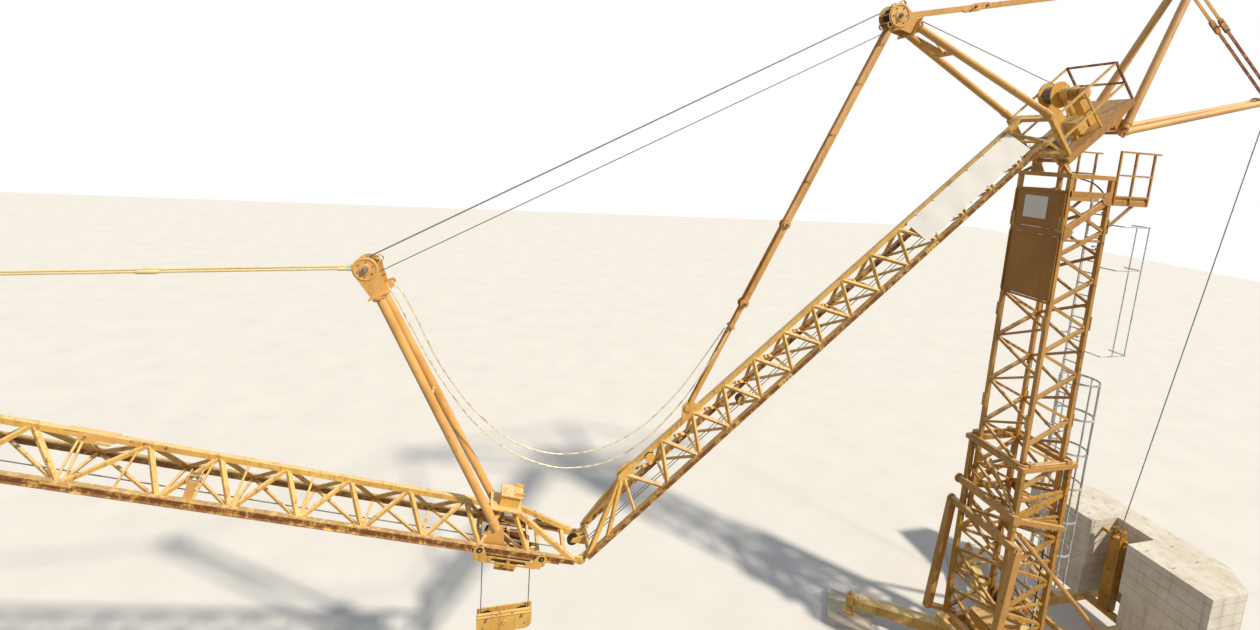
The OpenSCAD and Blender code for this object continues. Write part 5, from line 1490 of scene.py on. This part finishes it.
# %% Second lengths of the unfolding ropes
FRONT_ROPE_R, FOLD_ROPE_R, ROPE_CUT = 0.198, 0.153, 0.3
front_wheel, outer_wheel = HEAD_POINT["front_strut"], HEAD_POINT["outer_strut"]
cable_way = unit(outer_wheel - front_wheel)
cable_up = np.array([cable_way[2], 0, -cable_way[0]])
for name, body, y, side, cut in (("unfolding_rope_tail_near", "cable_back", -0.05, 1, ROPE_CUT),
                                 ("unfolding_rope_tail_far", "cable_back", 0.05, 1, ROPE_CUT),
                                 ("unfolding_return_tail", "cable_front", 0.0, -1, 0.0)):
    a = front_wheel + side * FRONT_ROPE_R * cable_up + cut * cable_way + y * across
    b = outer_wheel + side * FOLD_ROPE_R * cable_up + (cut - ROPE_CUT) * cable_way + y * across
    taut_rope(name, np.linspace(a, b, 60), 0.0174, body)
print("rope wheels", front_wheel.round(3), outer_wheel.round(3))

# %% [markdown]
# The outer jib is two sections, pinned together in a fork on the top chord, with a cover plate over the
# gap. The fork's cheeks are cut from plate in the outline that the picture shows. Beside it a bracket
# on the near face holds two small rollers that guide the rope.

# %% Fork and rope bracket on the outer jib
FORK = [(8.565, 0.045), (8.565, -0.075), (8.53, -0.115), (8.13, -0.115), (8.09, -0.075), (8.32, -0.072),
        (8.32, -0.055), (8.06, -0.055), (8.06, 0.05)]
fork = [cut_plate(FORK, outer(0, y, JIB_H), outer_s, outer_n, 0.016) for y in (-0.056, 0.056)]
fork.append(sweep([outer(s, 0, JIB_H + 0.056) for s in (8.07, 8.40, 8.74)], flat_profile(0.125, 0.016)))
fork.append(cut_plate(rounded(0.13, 0.34, 0.02), outer(6.75, 0.012 - CHORD_Y, 0.205), outer_s, outer_n, 0.014))
fork += [sweep([outer(s, 0.01 - CHORD_Y, 0.30), outer(s + 0.01, 0.05 - CHORD_Y, 0.40),
                outer(s + 0.01, 0.13 - CHORD_Y, 0.50)], flat_profile(0.016, 0.05), outer_s)
         for s in (6.67, 6.83)]
fork += [lathe(outer(FORK_PIN_S, sy * FORK_PIN_Y, FORK_PIN_N), sy * across,
               [(0.052, -0.004), (0.052, 0.006), (0.034, 0.006), (0.034, -0.004)], closed=True)
         for sy in SIDES]
piece("outer_jib_fork", fork, "outer_jib", strut_orange["front_strut"], bevel=0.002)
guides = [bar(outer(6.665, y - CHORD_Y, n), outer(6.845, y - CHORD_Y, n), round_profile(0.017, 12), outer_n, 2)
          for y, n in ((0.03, 0.365), (0.10, 0.455))]
piece("rope_guide_rollers", guides, "outer_jib", bolt_zinc)
print("fork parts", len(fork), "guide rollers", len(guides))

# %% [markdown]
# Near the joint the near face has a few thin uprights more than the lattice of the solid model, and
# at the joint itself each side has two. They are straight tubes from bottom chord to top chord.

# %% More uprights near the joint
uprights = [bar(outer(low, 0.03 - CHORD_Y, 0.035), outer(high, -0.03, JIB_H - 0.035),
                round_profile(0.020, 10), outer_s, 2)
            for low, high in ((5.09, 5.12), (6.12, 6.14), (6.69, 6.64), (7.76, 7.72))]
uprights += [bar(outer(low, sy * 0.41, 0.035), outer(high, sy * 0.05, JIB_H - 0.105),
                 round_profile(0.019, 10), outer_s, 2)
             for sy in SIDES for low, high in ((8.50, 8.545), (8.40, 8.48))]
piece("outer_jib_uprights", uprights, "outer_jib", plain_yellow)
print("uprights", len(uprights))

# %% [markdown]
# The studio is plain, so that nothing but the crane draws the eye. Its floor and surround look pale to
# the camera and in reflections. To the light they are mid grey and faint blue, so the shaded sides of
# the steel stay dark. Both read the same share of seen rays, so that they can't come apart.


# %% Floor
def seen_rays(node):
    """Share = 1 for camera, glossy and transmission rays, and 0 for the rays that carry light."""
    rays = node("LightPath", {}).node.outputs
    mirrored = node("Math", {0: rays["Is Glossy Ray"], 1: rays["Is Transmission Ray"]}, operation="MAXIMUM")
    return node("Math", {0: rays["Is Camera Ray"], 1: mirrored}, operation="MAXIMUM")


FLOOR_HALF, FLOOR_Z = 90.0, -0.002
SWEPT = per_metre(1700)  # broad swept patches
floor_mesh = bpy.data.meshes.new("floor")
floor_mesh.from_pydata([(x * FLOOR_HALF, y * FLOOR_HALF, FLOOR_Z) for x, y in
                        ((-1, -1), (1, -1), (1, 1), (-1, 1))], [], [(0, 1, 2, 3)])
floor = put("floor", floor_mesh)
pale_floor, node, where = new_finish("pale_floor")
patches = node("TexNoise", {"Vector": where, "Scale": SWEPT, "Detail": 3.0, "Roughness": 0.55})
pale = laid_over(node, "#E9E8E5", "#EFEEEB", patches, 0.3, 0.7)
seen = node("Mix", {0: seen_rays(node), 6: "#8B8A87", 7: pale}, 2, data_type="RGBA")
node("OutputMaterial", {"Surface": node("BsdfPrincipled", {"Base Color": seen, "Roughness": 0.95})})
floor_mesh.materials.append(pale_floor)
print("floor half width", FLOOR_HALF)

# %% [markdown]
# Daylight has two parts: a large weak blue-white sky that fills every shadow, and a small strong sun.
# The sun stands high behind the camera's right shoulder, as in the picture, and is 3 degrees wide
# where the real one is half a degree, so thin members cast shadows with soft rims.

# %% Sky and sun
SKY_LIGHT, SUN_LIGHT, SUN_WIDTH = 0.38, 3.6, math.radians(3)
studio = bpy.data.worlds.new("studio")
studio.use_nodes = True
studio.node_tree.nodes.clear()
node = partial(add, studio.node_tree)
sky = node("Background", {"Color": "#E4ECF6", "Strength": SKY_LIGHT})
white = node("Background", {"Color": "#FFFFFF", "Strength": 1.0})
node("OutputWorld", {"Surface": node("MixShader", {0: seen_rays(node), 1: sky, 2: white})})
bpy.context.scene.world = studio
sun_data = bpy.data.lights.new("sun", "SUN")
sun_data.energy, sun_data.angle, sun_data.color = SUN_LIGHT, SUN_WIDTH, rgb("#FFF3DF")[:3]
sun = put("sun", sun_data)
sun.rotation_euler = (math.radians(46), 0.0, math.radians(42))
bpy.context.scene.view_settings.view_transform = "Standard"
print("sun", sun_data.energy, "sky", SKY_LIGHT)
